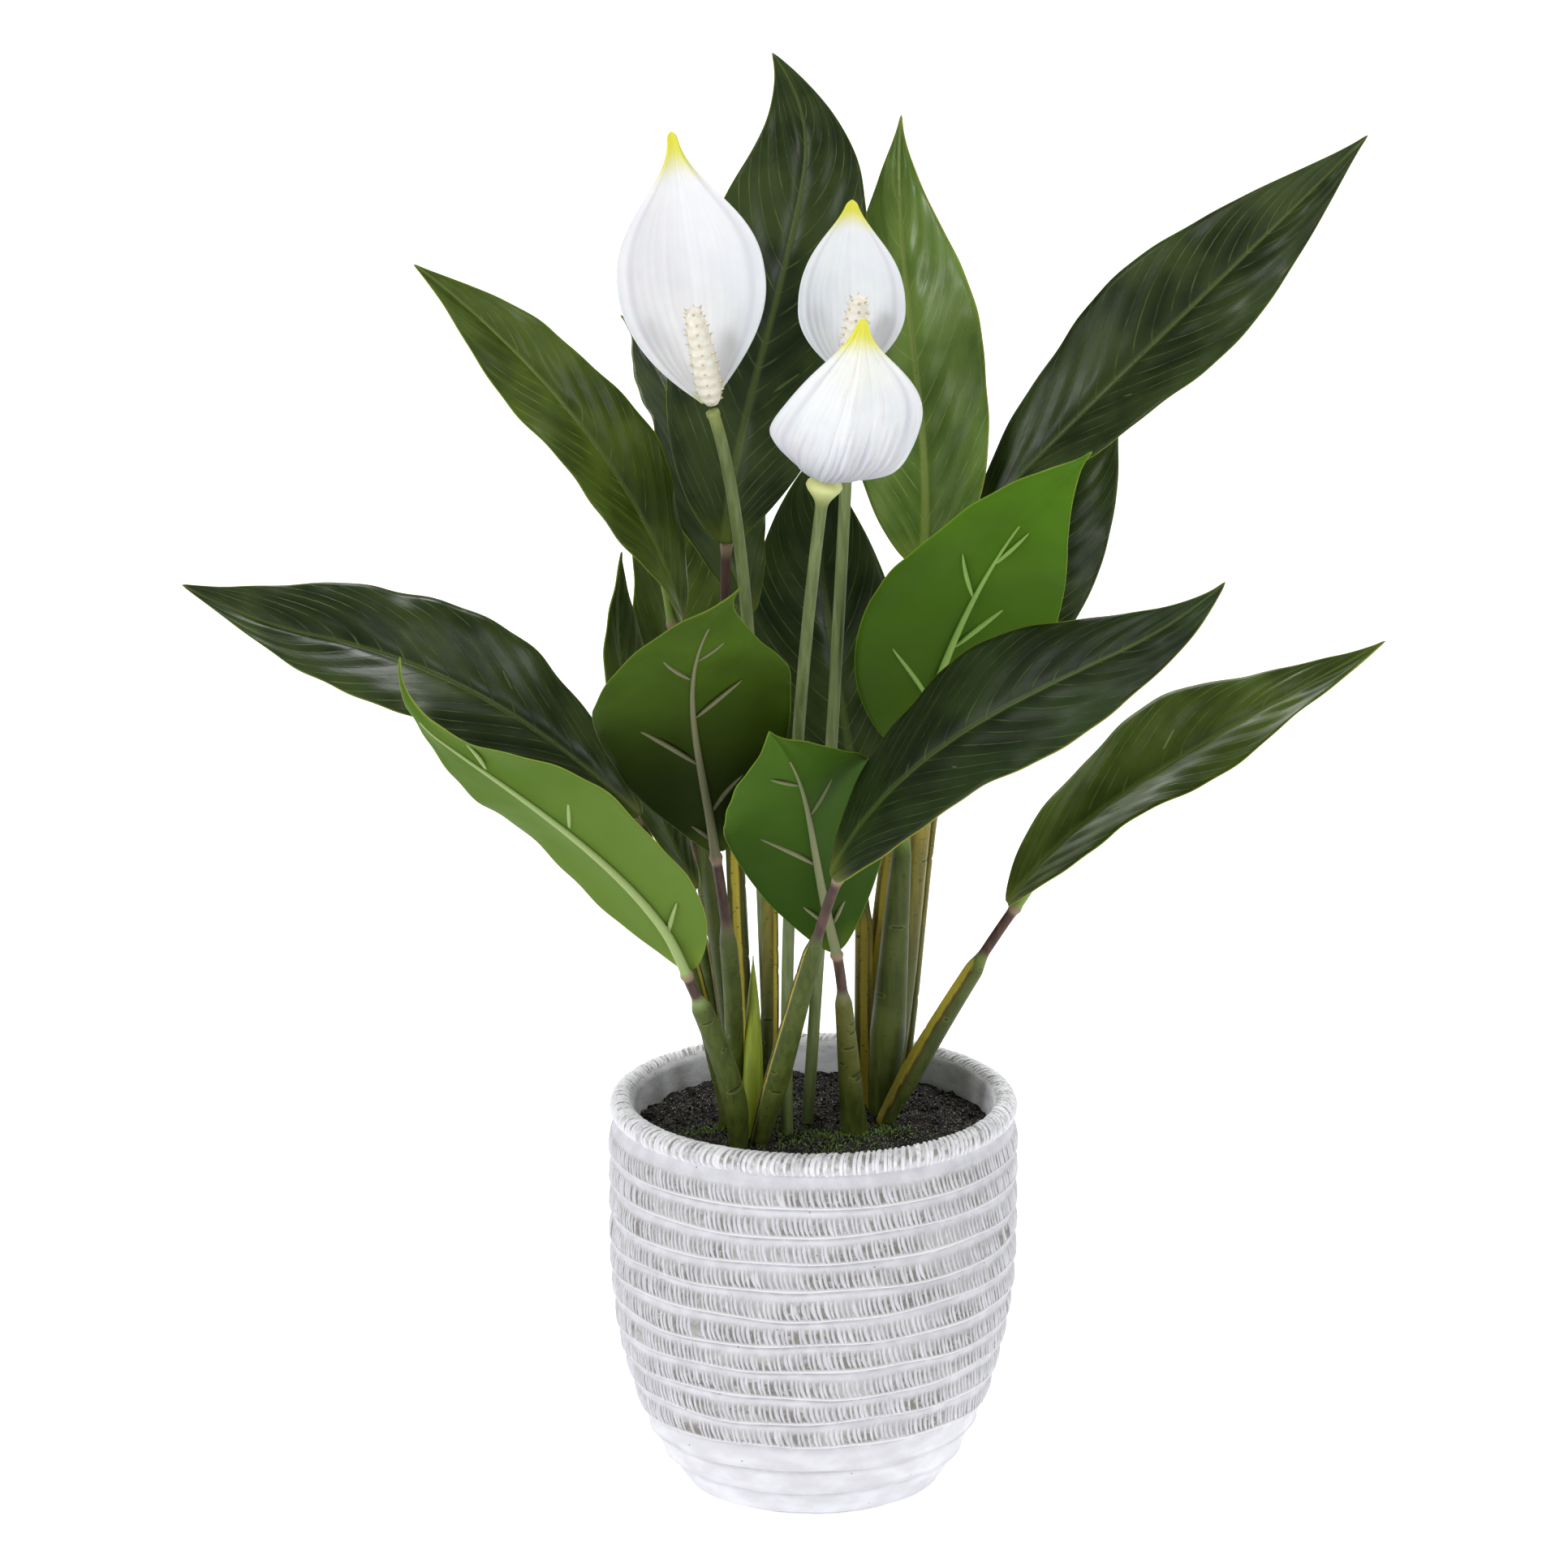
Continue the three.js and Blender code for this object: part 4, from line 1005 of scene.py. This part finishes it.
shootForm = {
    "root": (-22, -18),
    "height": 68,
    "radius": 3.9,
    "tipShare": 0.06,  # of the radius, left at the tip
    "oval": 0.05,
    "seamAt": 1.9,  # the edge of the rolled leaf, round the shoot in radians
    "seamTurn": 0.5,
    "seamWidth": 0.16,
    "seamDepth": 0.12,
    "sides": 28,
    "steps": 60,
}

shootTones = dict(deep="#7d8f16", light="#9dac28", foot="#66730f", seam="#6a4a22")


def shootFinish():
    made = Finish("shoot_lime", Roughness=0.42)
    tones = shootTones
    streak = made.noise(1.6, 4, (1, 1, 0.08))
    colour = made.blend(made.step(streak, 0.3, 0.7), tones["deep"], tones["light"])
    colour = made.blend(made.step(made.own("height"), 0.6, 0.0, 0.0, 0.8), colour, tones["foot"])
    colour = made.blend(made.step(made.own("seam"), 0.35, 0.9), colour, tones["seam"])
    return made.finish(colour, None, streak, 0.2, 0.4)


def makeShoot():
    form = shootForm
    u = np.linspace(0, 1, form["steps"])
    centres = withFoot(standOnSoil(form["root"]) + np.outer(u, [0, 0, form["height"]]))
    girth = form["radius"] * np.maximum(form["tipShare"], 0.85 + u - 1.85 * u * u)
    u, girth = np.concatenate([[0], u]), np.concatenate([[girth[0]], girth])
    angle = turn * np.arange(form["sides"])[None, :] / form["sides"]
    past = angle - form["seamAt"] - form["seamTurn"] * u[:, None]
    seam = np.exp(-((past / form["seamWidth"]) ** 2))
    radii = girth[:, None] * (1 - form["seamDepth"] * seam + form["oval"] * np.cos(2 * angle))
    rings = tubeRings(centres, np.tile([0, -1.0, 0], (len(u), 1)), radii)
    values = {"height": np.repeat(u[:, None], form["sides"], 1), "seam": seam}
    return makePiece("lily_shoot", rings, tubeFaces(*radii.shape), shootFinish(), values)


dress(makeShoot(), "shoot", "shoot")
print("shoot made")


# pot

potForm = {
    "footRadius": 42,
    "bellyRadius": 75,
    "bellyHeight": 100,
    "footCurve": 2.1,  # how the wall bends from the foot to the belly
    "bellyCurve": 1.4,
    "rimRadius": 70,
    "rimRoll": 4.4,
    "rimHeight": 145,
    "innerRadius": moundForm["radius"],
    "wall": 9.5,
    "floor": 12,
    "ribPitch": 10.6,
    "ribTop": 139.5,
    "ribCount": 13,
    "ribDepth": 1.7,
    "lowRibDepth": 2.4,
    "ribLip": 0.3,
    "ribLipAt": 0.1,
    "ribLipWidth": 0.05,
    "ribSway": 2.0,  # the bands climb a little from left to right
    "wander": 0.48,
    "shingle": 0.16,  # how much each band leans in towards its top
    "segments": 240,
    "ribShares": (0, 0.03, 0.06, 0.1, 0.14, 0.2, 0.28, 0.4, 0.54, 0.68, 0.8, 0.9),
    "scoredRibs": 10,  # the lowest ribs are smooth
    "footEdge": 1.5,
    "footRing": 20,
    "footHollow": 0.4,  # the middle of the foot stands clear of the floor
    "innerHeights": (139.5, 136, 132, 126, 118, 100, 80, 60, 45, 25, 12),
    "lowFrom": 33.5,  # the smooth bands are whiter from here down
    "lowFull": 29.0,
    "unevenness": 0.6,
    "lumpSize": 22,
}

# crease is painted shade in the creases between bands, and edge a painted highlight along each band's lip
potTones = dict(white=("#d3d3d9", "#e1e1e7"), rimWhite=("#eeeef4", "#fcfcff"), dust="#bab9bb",
    ground="#b9b8b7", worn="#86827c", chalk="#cbcacd", patch="#7c736a", low=("#dbdbe0", "#ececf2"),
    edge="#f6f6fb", crease="#a2a1a4", rim=("#9b968f", "#d6d5d8"), inner=("#e2e2ea", "#fafaff"),
    innerSpot="#c9c9ce", pit="#33312f")


def wallRadius(z):
    form = potForm
    rise = np.clip(np.asarray(z, float) / form["bellyHeight"], 0, 1)
    swell = (1 - (1 - rise) ** form["footCurve"]) ** (1 / form["bellyCurve"])
    return form["footRadius"] + (form["bellyRadius"] - form["footRadius"]) * swell


def ribOut(share):
    # each band overlaps the one below with a thin lip
    lip = potForm["ribLip"] * np.exp(-(((share - potForm["ribLipAt"]) / potForm["ribLipWidth"]) ** 2))
    return smoothStep(0.0, 0.08, share) * (0.85 - 0.6 * smoothStep(0.25, 1.08, share)) + lip


rollRadius = potForm["rimRoll"] - 0.3  # the rim's ridges lie on a roll that is this much thinner


def bandLift(x, y, z):
    # how far the hand-made bands rise and fall round the pot
    form = potForm
    angle = np.arctan2(y, x)
    swell = np.sin(math.pi * np.clip(z / form["ribTop"], 0, 1)) ** 0.6
    row = (form["ribTop"] - np.asarray(z, float)) / form["ribPitch"]
    wander = np.sin(3 * angle + 1.9 * row) + 0.7 * np.sin(5 * angle - 2.6 * row)
    wander = wander + 0.5 * np.sin(11 * angle + row)
    return swell * (form["ribSway"] * x / form["bellyRadius"] + form["wander"] * wander)


def potFinish(name, whites, ridge=False):
    made = Finish(name, Specular_IOR_Level=0.2)
    tones = potTones
    white = made.blend(made.step(made.noise(7, 4), 0.35, 0.68), *whites)
    if ridge:
        dust = made.step(made.noise(1.1, 3, (1, 1, 0.35)), 0.35, 0.7)
        colour = made.blend(made.sum("MULTIPLY", dust, made.own("worn")), white, tones["dust"])
    else:
        worn = made.step(made.noise(20, 3, (1, 1, 2.0)), 0.36, 0.6)
        ground = made.blend(worn, tones["ground"], tones["worn"])
        ground = made.blend(made.step(made.noise(1.6, 3), 0.5, 0.7, 0.0, 0.8), ground, tones["chalk"])
        ground = made.blend(made.step(made.noise(34, 2), 0.62, 0.74, 0.0, 0.8), ground, tones["patch"])
        colour = made.blend(made.own("scored"), white, ground)
        # painted highlight: a lighter line along each band's lip
        colour = made.blend(made.own("edge"), colour, tones["edge"])
        low = made.blend(made.step(made.noise(12, 4, (1, 1, 2.0)), 0.3, 0.75), *tones["low"])
        colour = made.blend(made.own("low"), colour, low)
        # painted shade: grey, in patches, in the creases between bands
        patchy = made.step(made.noise(6, 3), 0.35, 0.65, 0.15, 0.55)
        colour = made.blend(made.sum("MULTIPLY", made.own("crease"), patchy), colour, tones["crease"])
        rim = made.blend(made.step(made.noise(3, 3), 0.4, 0.6), *tones["rim"])
        colour = made.blend(made.own("rim"), colour, rim)
        inner = made.blend(made.step(made.noise(9, 4, (1, 1, 2.5)), 0.35, 0.7), *tones["inner"])
        inner = made.blend(made.step(made.noise(2.5, 4, (1, 1, 4)), 0.6, 0.72), inner, tones["innerSpot"])
        colour = made.blend(made.own("inside"), colour, inner)
    pits = made.step(made.dots(7.0), 0.055, 0.03)
    colour = made.blend(made.sum("MULTIPLY", pits, 0.8), colour, tones["pit"])
    grain = made.noise(0.8, 4)
    return made.finish(colour, made.step(grain, 0.3, 0.7, 0.75, 0.95), grain, 0.25, 0.6)


def potRow(radius, z, scored=0, rim=0, inside=0, crease=0, edge=0):
    # one ring of the pot's wall, with how much of each finish it has, crease being painted shade and edge a
    # painted highlight
    return radius, z, scored, rim, inside, crease, edge


def bandRows(rib):
    form = potForm
    low = form["ribTop"] - rib * form["ribPitch"]
    handScored = rib <= form["scoredRibs"]
    depth = form["ribDepth"] if handScored else form["lowRibDepth"]
    rows = []
    for share in form["ribShares"]:
        z = low + share * form["ribPitch"]
        scored = smoothStep(0.08, 0.16, share) * smoothStep(0.88, 0.55, share) * handScored
        # painted shade in the creases at the foot and the top of each band
        crease = np.exp(-((share / 0.05) ** 2)) + 0.5 * smoothStep(0.9, 1.0, share)
        # painted highlight along the lip of each band
        edge = 0.8 * np.exp(-(((share - 0.1) / 0.06) ** 2))
        radius = wallRadius(z) + (ribOut(share) - 1) * depth
        rows.append(potRow(radius, z, scored, crease=crease, edge=edge))
    return rows


def rimRows():
    form = potForm
    rows = []
    for degrees in range(-60, 195, 15):
        angle = math.radians(degrees)
        front = float(smoothStep(165, 125, degrees))
        rows.append(potRow(form["rimRadius"] + rollRadius * math.cos(angle),
            form["rimHeight"] + rollRadius * math.sin(angle),
            rim=front * float(smoothStep(-50, 20, degrees)), inside=1 - front))
    return rows


def potGrid():
    form = potForm
    foot = form["footRadius"] - form["footEdge"]
    rows = [potRow(0.0, form["footHollow"]), potRow(form["footRing"], form["footHollow"]), potRow(foot, 0.0)]
    footRows = len(rows)
    for rib in range(form["ribCount"], 0, -1):
        rows += bandRows(rib)
    outside = len(rows)
    rows += rimRows()
    for z in form["innerHeights"]:
        rows.append(potRow(min(form["innerRadius"], wallRadius(z) - form["wall"]), z, inside=1))
    rows.append(potRow(0.0, form["floor"], inside=1))
    angle = turn * np.arange(form["segments"])[None, :] / form["segments"]
    columns = [np.array(column, float)[:, None] + 0 * angle for column in zip(*rows)]
    radius, z, scored, rim, inside, crease, edge = columns
    x, y = radius * np.cos(angle), radius * np.sin(angle)
    uneven = np.zeros_like(x)
    uneven[footRows:outside] = 1
    values = {"scored": scored, "rim": rim, "inside": inside, "crease": crease, "edge": edge,
        "uneven": uneven, "lift": bandLift(x, y, z) * uneven,
        "low": smoothStep(form["lowFrom"], form["lowFull"], z) * uneven}
    faces = ringFaces(len(rows), form["segments"]).tolist()
    return makePiece("pot_grid", np.stack([x, y, z], -1), faces, None, values)


def potGrowth(material):
    # lifts the bands and makes the hand-thrown wall uneven
    sizes = {"Unevenness": potForm["unevenness"] * metre, "Lump size": potForm["lumpSize"] * metre,
        "Lift": metre}
    made = Growth("pot_wall", sizes)
    place = made.node("GeometryNodeInputPosition").outputs[0]
    scale = made.sum("DIVIDE", 1.0, made.size("Lump size"))
    lump = made.node("ShaderNodeTexNoise", {"Vector": place, "Scale": scale, "Detail": 2.0}).outputs[0]
    lump = made.sum("MULTIPLY", made.sum("SUBTRACT", lump, 0.5), made.own("uneven"))
    normal = made.node("GeometryNodeInputNormal").outputs[0]
    push = made.sum("MULTIPLY", lump, made.size("Unevenness"))
    out = made.node("ShaderNodeVectorMath", {0: normal, "Scale": push}, operation="SCALE").outputs[0]
    lift = made.vector(0.0, 0.0, made.sum("MULTIPLY", made.own("lift"), made.size("Lift")))
    offset = made.node("ShaderNodeVectorMath", {0: out, 1: lift}, operation="ADD").outputs[0]
    moved = made.node("GeometryNodeSetPosition", {"Geometry": made.source, "Offset": offset}).outputs[0]
    inputs = {"Geometry": moved, "Distance": 0.02 * metre}
    made.close(made.node("GeometryNodeMergeByDistance", inputs).outputs[0], material)
    return made


scoreForm = {
    "pitch": 2.05,  # from one ridge to the next along a band
    "unsteady": 0.22,  # share of the pitch that a ridge strays sideways
    "stray": 0.3,  # and how far up or down
    "middle": 0.52,  # share of the band from its top to the middle of a ridge
    "sink": 0.35,  # share of the band's depth that the ridges lie in
    "bareBelow": -2.1,  # higher leaves more bare patches without ridges
    "height": 8.4,
    "width": 0.7,
    "bend": 1.0,
    "lean": 1.1,
    "bulge": 0.5,
    "worn": 0.8,
    "seed": 21,
}


def scoreGuides():
    form, score = potForm, scoreForm
    draws = np.random.default_rng(score["seed"])
    places, outwards, sizes, worn = [], [], [], []
    for rib in range(1, form["scoredRibs"] + 1):
        z = form["ribTop"] - (rib - 1 + score["middle"]) * form["ribPitch"]
        radius = float(wallRadius(z)) - score["sink"] * form["ribDepth"]
        slope = (float(wallRadius(z + 2)) - float(wallRadius(z - 2))) / 4 - form["shingle"]
        count = int(turn * radius / score["pitch"])
        phase = draws.uniform(0, 1)
        for i in range(count):
            angle = turn * (i + phase + draws.uniform(-score["unsteady"], score["unsteady"])) / count
            patch = math.sin(3 * angle + rib * 1.7) + math.sin(7 * angle - rib * 2.9) + draws.uniform(-1, 1)
            if patch < score["bareBelow"]:
                continue
            spot = np.array([math.cos(angle), math.sin(angle), 0.0])
            x, y = radius * spot[:2]
            lift = float(bandLift(x, y, z))
            places.append((x, y, z + lift + draws.uniform(-score["stray"], score["stray"])))
            outwards.append(unit(spot - (0, 0, slope)))
            sizes.append((draws.uniform(0.7, 1.35), draws.uniform(0.88, 1.05), draws.uniform(0.7, 1.15)))
            worn.append(draws.uniform(0.0, score["worn"]))
    ups = np.tile([0, 0, 1.0], (len(places), 1))
    values = {"outward": np.array(outwards), "upward": ups, "size": np.array(sizes), "worn": worn}
    return makePiece("score_guides", np.array(places), [], None, values)


def scoreGrowth(material):
    score = scoreForm
    names = "height", "width", "bend", "lean", "bulge"
    made = Growth("pot_scores", {name.capitalize(): score[name] * metre for name in names})
    half = made.sum("MULTIPLY", made.size("Height"), 0.5)
    down = made.sum("MULTIPLY", half, -1.0)
    sink = made.sum("MULTIPLY", made.size("Bulge"), -0.35)
    ends = {"Resolution": 5,
        "Start": made.vector(made.sum("MULTIPLY", made.size("Lean"), -0.3), half, sink),
        "Middle": made.vector(made.sum("MULTIPLY", made.size("Bend"), -1.0), 0.0, made.size("Bulge")),
        "End": made.vector(made.size("Lean"), down, sink)}
    curve = made.node("GeometryNodeCurveQuadraticBezier", ends).outputs[0]
    rod = made.rod(curve, made.size("Width"), 6, made.spindle(0.4))
    shape = made.node("GeometryNodeTransform", {"Geometry": rod, "Scale": (1, 1, 0.75)}).outputs[0]
    made.spreadOnGuides(shape, "ZY", "FLOAT_VECTOR", material)
    return made


rimForm = {
    "ridges": 190,
    "width": 0.8,
    "slant": 0.5,  # sideways for each step out from the middle of the roll
    "from": -62,
    "sweep": 200,
    "seed": 5,
}


def rimGuides():
    form, rim = potForm, rimForm
    draws = np.random.default_rng(rim["seed"])
    count = rim["ridges"]
    angle = turn * (np.arange(count) + draws.uniform(-0.3, 0.3, count)) / count
    spots = np.stack([np.cos(angle), np.sin(angle), np.zeros(count)], -1)
    places = spots * form["rimRadius"] + (0, 0, form["rimHeight"])
    sizes = draws.uniform([0.97, 0.97, 0.7], [1.02, 1.02, 1.3], (count, 3))
    values = {"outward": spots, "upward": np.tile([0, 0, 1.0], (count, 1)), "size": sizes,
        "worn": draws.uniform(0.1, 0.8, count)}
    return makePiece("rim_guides", places, [], None, values)


def rimGrowth(material):
    rim = rimForm
    made = Growth("pot_rim_ridges", {"Roll": rollRadius * metre, "Width": rim["width"] * metre,
        "Slant": rim["slant"]})
    inputs = {"Resolution": 10, "Radius": made.size("Roll"), "Start Angle": math.radians(rim["from"]),
        "Sweep Angle": math.radians(rim["sweep"])}
    arc = made.node("GeometryNodeCurveArc", inputs).outputs[0]
    x = made.node("ShaderNodeSeparateXYZ", {0: made.node("GeometryNodeInputPosition").outputs[0]}).outputs[0]
    shift = made.vector(0.0, 0.0, made.sum("MULTIPLY", x, made.size("Slant")))
    arc = made.node("GeometryNodeSetPosition", {"Geometry": arc, "Offset": shift}).outputs[0]
    rod = made.rod(arc, made.size("Width"), 6, made.spindle(0.35))
    made.spreadOnGuides(rod, "XY", "FLOAT_VECTOR", material)
    return made


wallMaterial = potFinish("pot_clay", potTones["white"])
growFrom(potGrid(), potGrowth(wallMaterial), "pot_wall_and_rim", "pot", "pot")
ridgeMaterial = potFinish("pot_clay_ridges", potTones["white"], ridge=True)
growFrom(scoreGuides(), scoreGrowth(ridgeMaterial), "pot_scored_ridges", "pot")
rimMaterial = potFinish("pot_clay_rim", potTones["rimWhite"], ridge=True)
growFrom(rimGuides(), rimGrowth(rimMaterial), "pot_rim_ridges", "pot")
print("pot made")


# soil

soilForm = {
    "rings": 70,
    "segments": 200,
    "radius": 65.6,
    "depth": 10,
    "sink": 0.6,  # the crumbs stand on a surface that lies this much lower
    "bumps": ((1.3, 7.0, 0.0), (0.6, 2.4, 9.0)),  # height, size and seed of each layer
    "edgeBumps": (1.8, 5.0, 4.0),  # against the pot
    "edgeWidth": 0.05,
    "crumbsPerArea": 330000.0,  # for each square metre
    "crumbSize": 0.85,
    "lumpsPerArea": 30000.0,
    "lumpSize": 1.7,
    "fibres": 40,
    "fibreReach": 62,
    "mossSeed": 3,
    # where each patch of moss lies, how far it spreads and how many strands it has
    "mossPatches": [(-40, -12, 7, 150), (-12, -18, 9, 260), (3, -20, 6, 150), (24, -14, 8, 260),
        (2, -38, 12, 160), (8, -27, 14, 260)],
    "mossFlatness": 0.45,  # the patches are wider than deep
}

soilTones = dict(mound=("#12100f", "#2e2a27"), crumb=("#171513", "#48433e"), peat="#463d33", grit="#9a9894",
    moss=("#3f5a22", "#7d9742"), fibre=("#4e4232", "#7c6c50"))


def soilFinish(name, tones):
    made = Finish(name, Specular_IOR_Level=0.2)
    grain = made.noise(1.2, 4)
    colour = made.blend(made.step(grain, 0.35, 0.7), *tones)
    colour = made.blend(made.step(made.noise(3.4, 2), 0.6, 0.75, 0.0, 0.5), colour, soilTones["peat"])
    colour = made.blend(made.step(made.noise(0.7, 1), 0.63, 0.68, 0.0, 0.9), colour, soilTones["grit"])
    return made.finish(colour, made.step(grain, 0.3, 0.7, 0.85, 1.0), grain, 0.5, 0.8)


def strandFinish(name, tones):
    made = Finish(name, Roughness=0.75)
    return made.finish(made.blend(made.step(made.noise(2.0, 2), 0.35, 0.65), *tones))


def soilTop():
    form = soilForm
    rows = np.linspace(1, 0, form["rings"])
    angle = turn * np.arange(form["segments"]) / form["segments"]
    radius = form["radius"] * rows[:, None]
    x, y = radius * np.cos(angle), radius * np.sin(angle)
    z = soilHeight(x, y) - form["sink"]
    where = np.stack([x, y, z], -1)
    for height, size, seed in form["bumps"]:
        z = z + height * bumps(where, size, seed)
    height, size, seed = form["edgeBumps"]
    z = z + height * bumps(where, size, seed) * np.exp(-((1 - rows[:, None]) / form["edgeWidth"]))
    skirt = np.stack([x[0], y[0], z[0] - form["depth"]], -1)[None]
    base = np.tile([0, 0, soilHeight(0, 0) - form["depth"]], (1, form["segments"], 1))
    return np.concatenate([base, skirt, np.stack([x, y, z], -1)])


def crumbGrowth(name, material, share, size, seed):
    made = Growth(name, {"Crumbs": share, "Crumb size": size * metre, "Seed": seed})
    inputs = {"Mesh": made.source, "Density": made.size("Crumbs"), "Seed": made.size("Seed")}
    points = made.node("GeometryNodeDistributePointsOnFaces", inputs).outputs[0]
    inputs = {"Radius": made.size("Crumb size"), "Subdivisions": 1}
    ball = made.node("GeometryNodeMeshIcoSphere", inputs).outputs[0]
    scale = made.vector(made.random(0.25, 1.3, 1), made.random(0.25, 1.1, 2), made.random(0.25, 0.9, 3))
    spin = made.vector(made.random(0.0, turn, 4), made.random(0.0, turn, 5), made.random(0.0, turn, 6))
    made.spread(points, ball, spin, scale, material)
    return made


def strandGrowth(name, material, length, width, bend):
    # short bent strands, pointed at both ends, laid on guides
    made = Growth(name, {"Length": length * metre, "Width": width * metre, "Bend": bend * metre})
    ends = {"Resolution": 4, "Start": (0.0, 0.0, 0.0),
        "Middle": made.vector(made.size("Bend"), 0.0, made.sum("MULTIPLY", made.size("Length"), 0.5)),
        "End": made.vector(0.0, 0.0, made.size("Length"))}
    curve = made.node("GeometryNodeCurveQuadraticBezier", ends).outputs[0]
    rod = made.rod(curve, made.size("Width"), 4, made.spindle(0.7))
    made.spreadOnGuides(rod, "ZX", "FLOAT", material)
    return made


def strandGuides(name, spots, rise, draws):
    # strands stand or lie on the soil at these spots
    spots = np.asarray(spots)
    z = soilHeight(spots[:, 0], spots[:, 1]) - 0.2
    angle = draws.uniform(0, turn, len(spots))
    tilt = draws.uniform(*rise, len(spots))
    outward = np.stack([np.cos(angle) * np.cos(tilt), np.sin(angle) * np.cos(tilt), np.sin(tilt)], -1)
    upward = np.stack([-np.sin(angle), np.cos(angle), np.zeros(len(spots))], -1)
    places = np.concatenate([spots, z[:, None]], 1)
    values = {"outward": outward, "upward": upward, "size": draws.uniform(0.5, 1.3, len(spots))}
    return makePiece(name, places, [], None, values)


soilMaterial = soilFinish("soil_dark", soilTones["mound"])
points = soilTop()
faces = ringFaces(len(points), soilForm["segments"]).tolist()
soil = makePiece("soil_mound", points, faces, soilMaterial)
top = points[3:]  # without the base, the skirt and the outermost ring
source = makePiece("soil_surface", top, ringFaces(len(top), soilForm["segments"]).tolist(), None)
crumbFinish = soilFinish("soil_crumb", soilTones["crumb"])
crumbs = crumbGrowth("soil_crumbs", crumbFinish, soilForm["crumbsPerArea"], soilForm["crumbSize"], 11)
lumps = crumbGrowth("soil_lumps", soilMaterial, soilForm["lumpsPerArea"], soilForm["lumpSize"], 17)
dress(crumbs.grow("soil_crumbs", source), "soil")
growFrom(source, lumps, "soil_lumps", "soil")
dress(soil, "soil", "soil")

draws = np.random.default_rng(soilForm["mossSeed"])
spots = []
for x, y, spread, count in soilForm["mossPatches"]:
    spots += [draws.normal((x, y), (spread, spread * soilForm["mossFlatness"])) for _ in range(count)]
guides = strandGuides("moss_guides", spots, (0.3, 1.4), draws)
moss = strandGrowth("moss_strands", strandFinish("moss_green", soilTones["moss"]), 1.6, 0.17, 0.4)
growFrom(guides, moss, "soil_moss", "soil")

count = soilForm["fibres"]
angle, radius = draws.uniform(0, turn, count), soilForm["fibreReach"] * np.sqrt(draws.uniform(0, 1, count))
spots = np.stack([radius * np.cos(angle), radius * np.sin(angle)], -1)
guides = strandGuides("fibre_guides", spots, (0.0, 0.25), draws)
fibres = strandGrowth("fibre_strands", strandFinish("fibre_straw", soilTones["fibre"]), 4.5, 0.12, 1.0)
growFrom(guides, fibres, "soil_fibres", "soil")
print("soil made")


# stage, light and camera

stageForm = {
    "floorSize": 40.0,  # the stage is in metres
    "floorHeight": -0.0004,
    "floorTones": ("#fbfbfb", "#fdfdfd"),
    "floorGlow": 0.46,
    "worldStrength": 0.24,
    "lightAim": (0, 0, 0.3),
    "cameraPlace": (-0.010776, -3.82928, 1.42393),
    "cameraTilt": 73.2,
    "cameraLens": 252.45,  # gives the photograph's frame at 1932 x 1932
}

lights = {
    "key_light": dict(place=(-1.8, -2.0, 2.2), size=0.9, power=31.0),
    "side_light": dict(place=(-2.4, -1.9, 0.9), size=1.2, power=12.0),
    "fill_light": dict(place=(2.2, -1.6, 1.4), size=1.0, power=18.0),
    "top_light": dict(place=(0.7, 1.0, 2.4), size=1.0, power=34.0),
    "back_light": dict(place=(-0.9, 2.6, 1.6), size=1.2, power=30.0),
}


def makeStage():
    form = stageForm
    size, height = form["floorSize"] / 2, form["floorHeight"]
    corners = [(-size, -size, height), (size, -size, height), (size, size, height), (-size, size, height)]
    mesh = bpy.data.meshes.new("studio_floor")
    mesh.from_pydata(corners, [], [(0, 1, 2, 3)])
    floor = bpy.data.objects.new("studio_floor", mesh)
    scene.collection.objects.link(floor)
    made = Finish("studio_floor", Roughness=0.9, Specular_IOR_Level=0.0, Emission_Strength=form["floorGlow"])
    made.shader.inputs["Emission Color"].default_value = (1.0, 1.0, 1.0, 1.0)
    cloud = made.step(made.noise(400, 1), 0.3, 0.7)
    mesh.materials.append(made.finish(made.blend(cloud, *form["floorTones"])))
    world = bpy.data.worlds.new("studio_sky")
    scene.world = world
    world.use_nodes = True
    sky = world.node_tree.nodes["Background"]
    sky.inputs["Color"].default_value = (1.0, 1.0, 1.0, 1.0)
    sky.inputs["Strength"].default_value = form["worldStrength"]


def addLight(name, place, size, power):
    data = bpy.data.lights.new(name, "AREA")
    data.shape = "DISK"
    data.size = size
    data.energy = power
    light = bpy.data.objects.new(name, data)
    light.location = place
    way = Vector(stageForm["lightAim"]) - Vector(place)
    light.rotation_euler = way.to_track_quat("-Z", "Y").to_euler()
    scene.collection.objects.link(light)


def addCamera():
    data = bpy.data.cameras.new("photo_camera")
    data.lens = stageForm["cameraLens"]
    data.sensor_width = 36
    data.clip_end = 100
    camera = bpy.data.objects.new("photo_camera", data)
    camera.location = stageForm["cameraPlace"]
    camera.rotation_euler = (math.radians(stageForm["cameraTilt"]), 0, 0)
    scene.collection.objects.link(camera)
    scene.camera = camera


makeStage()
for name, light in lights.items():
    addLight(name, **light)
addCamera()
scene.view_settings.view_transform = "Standard"
print("stage made")
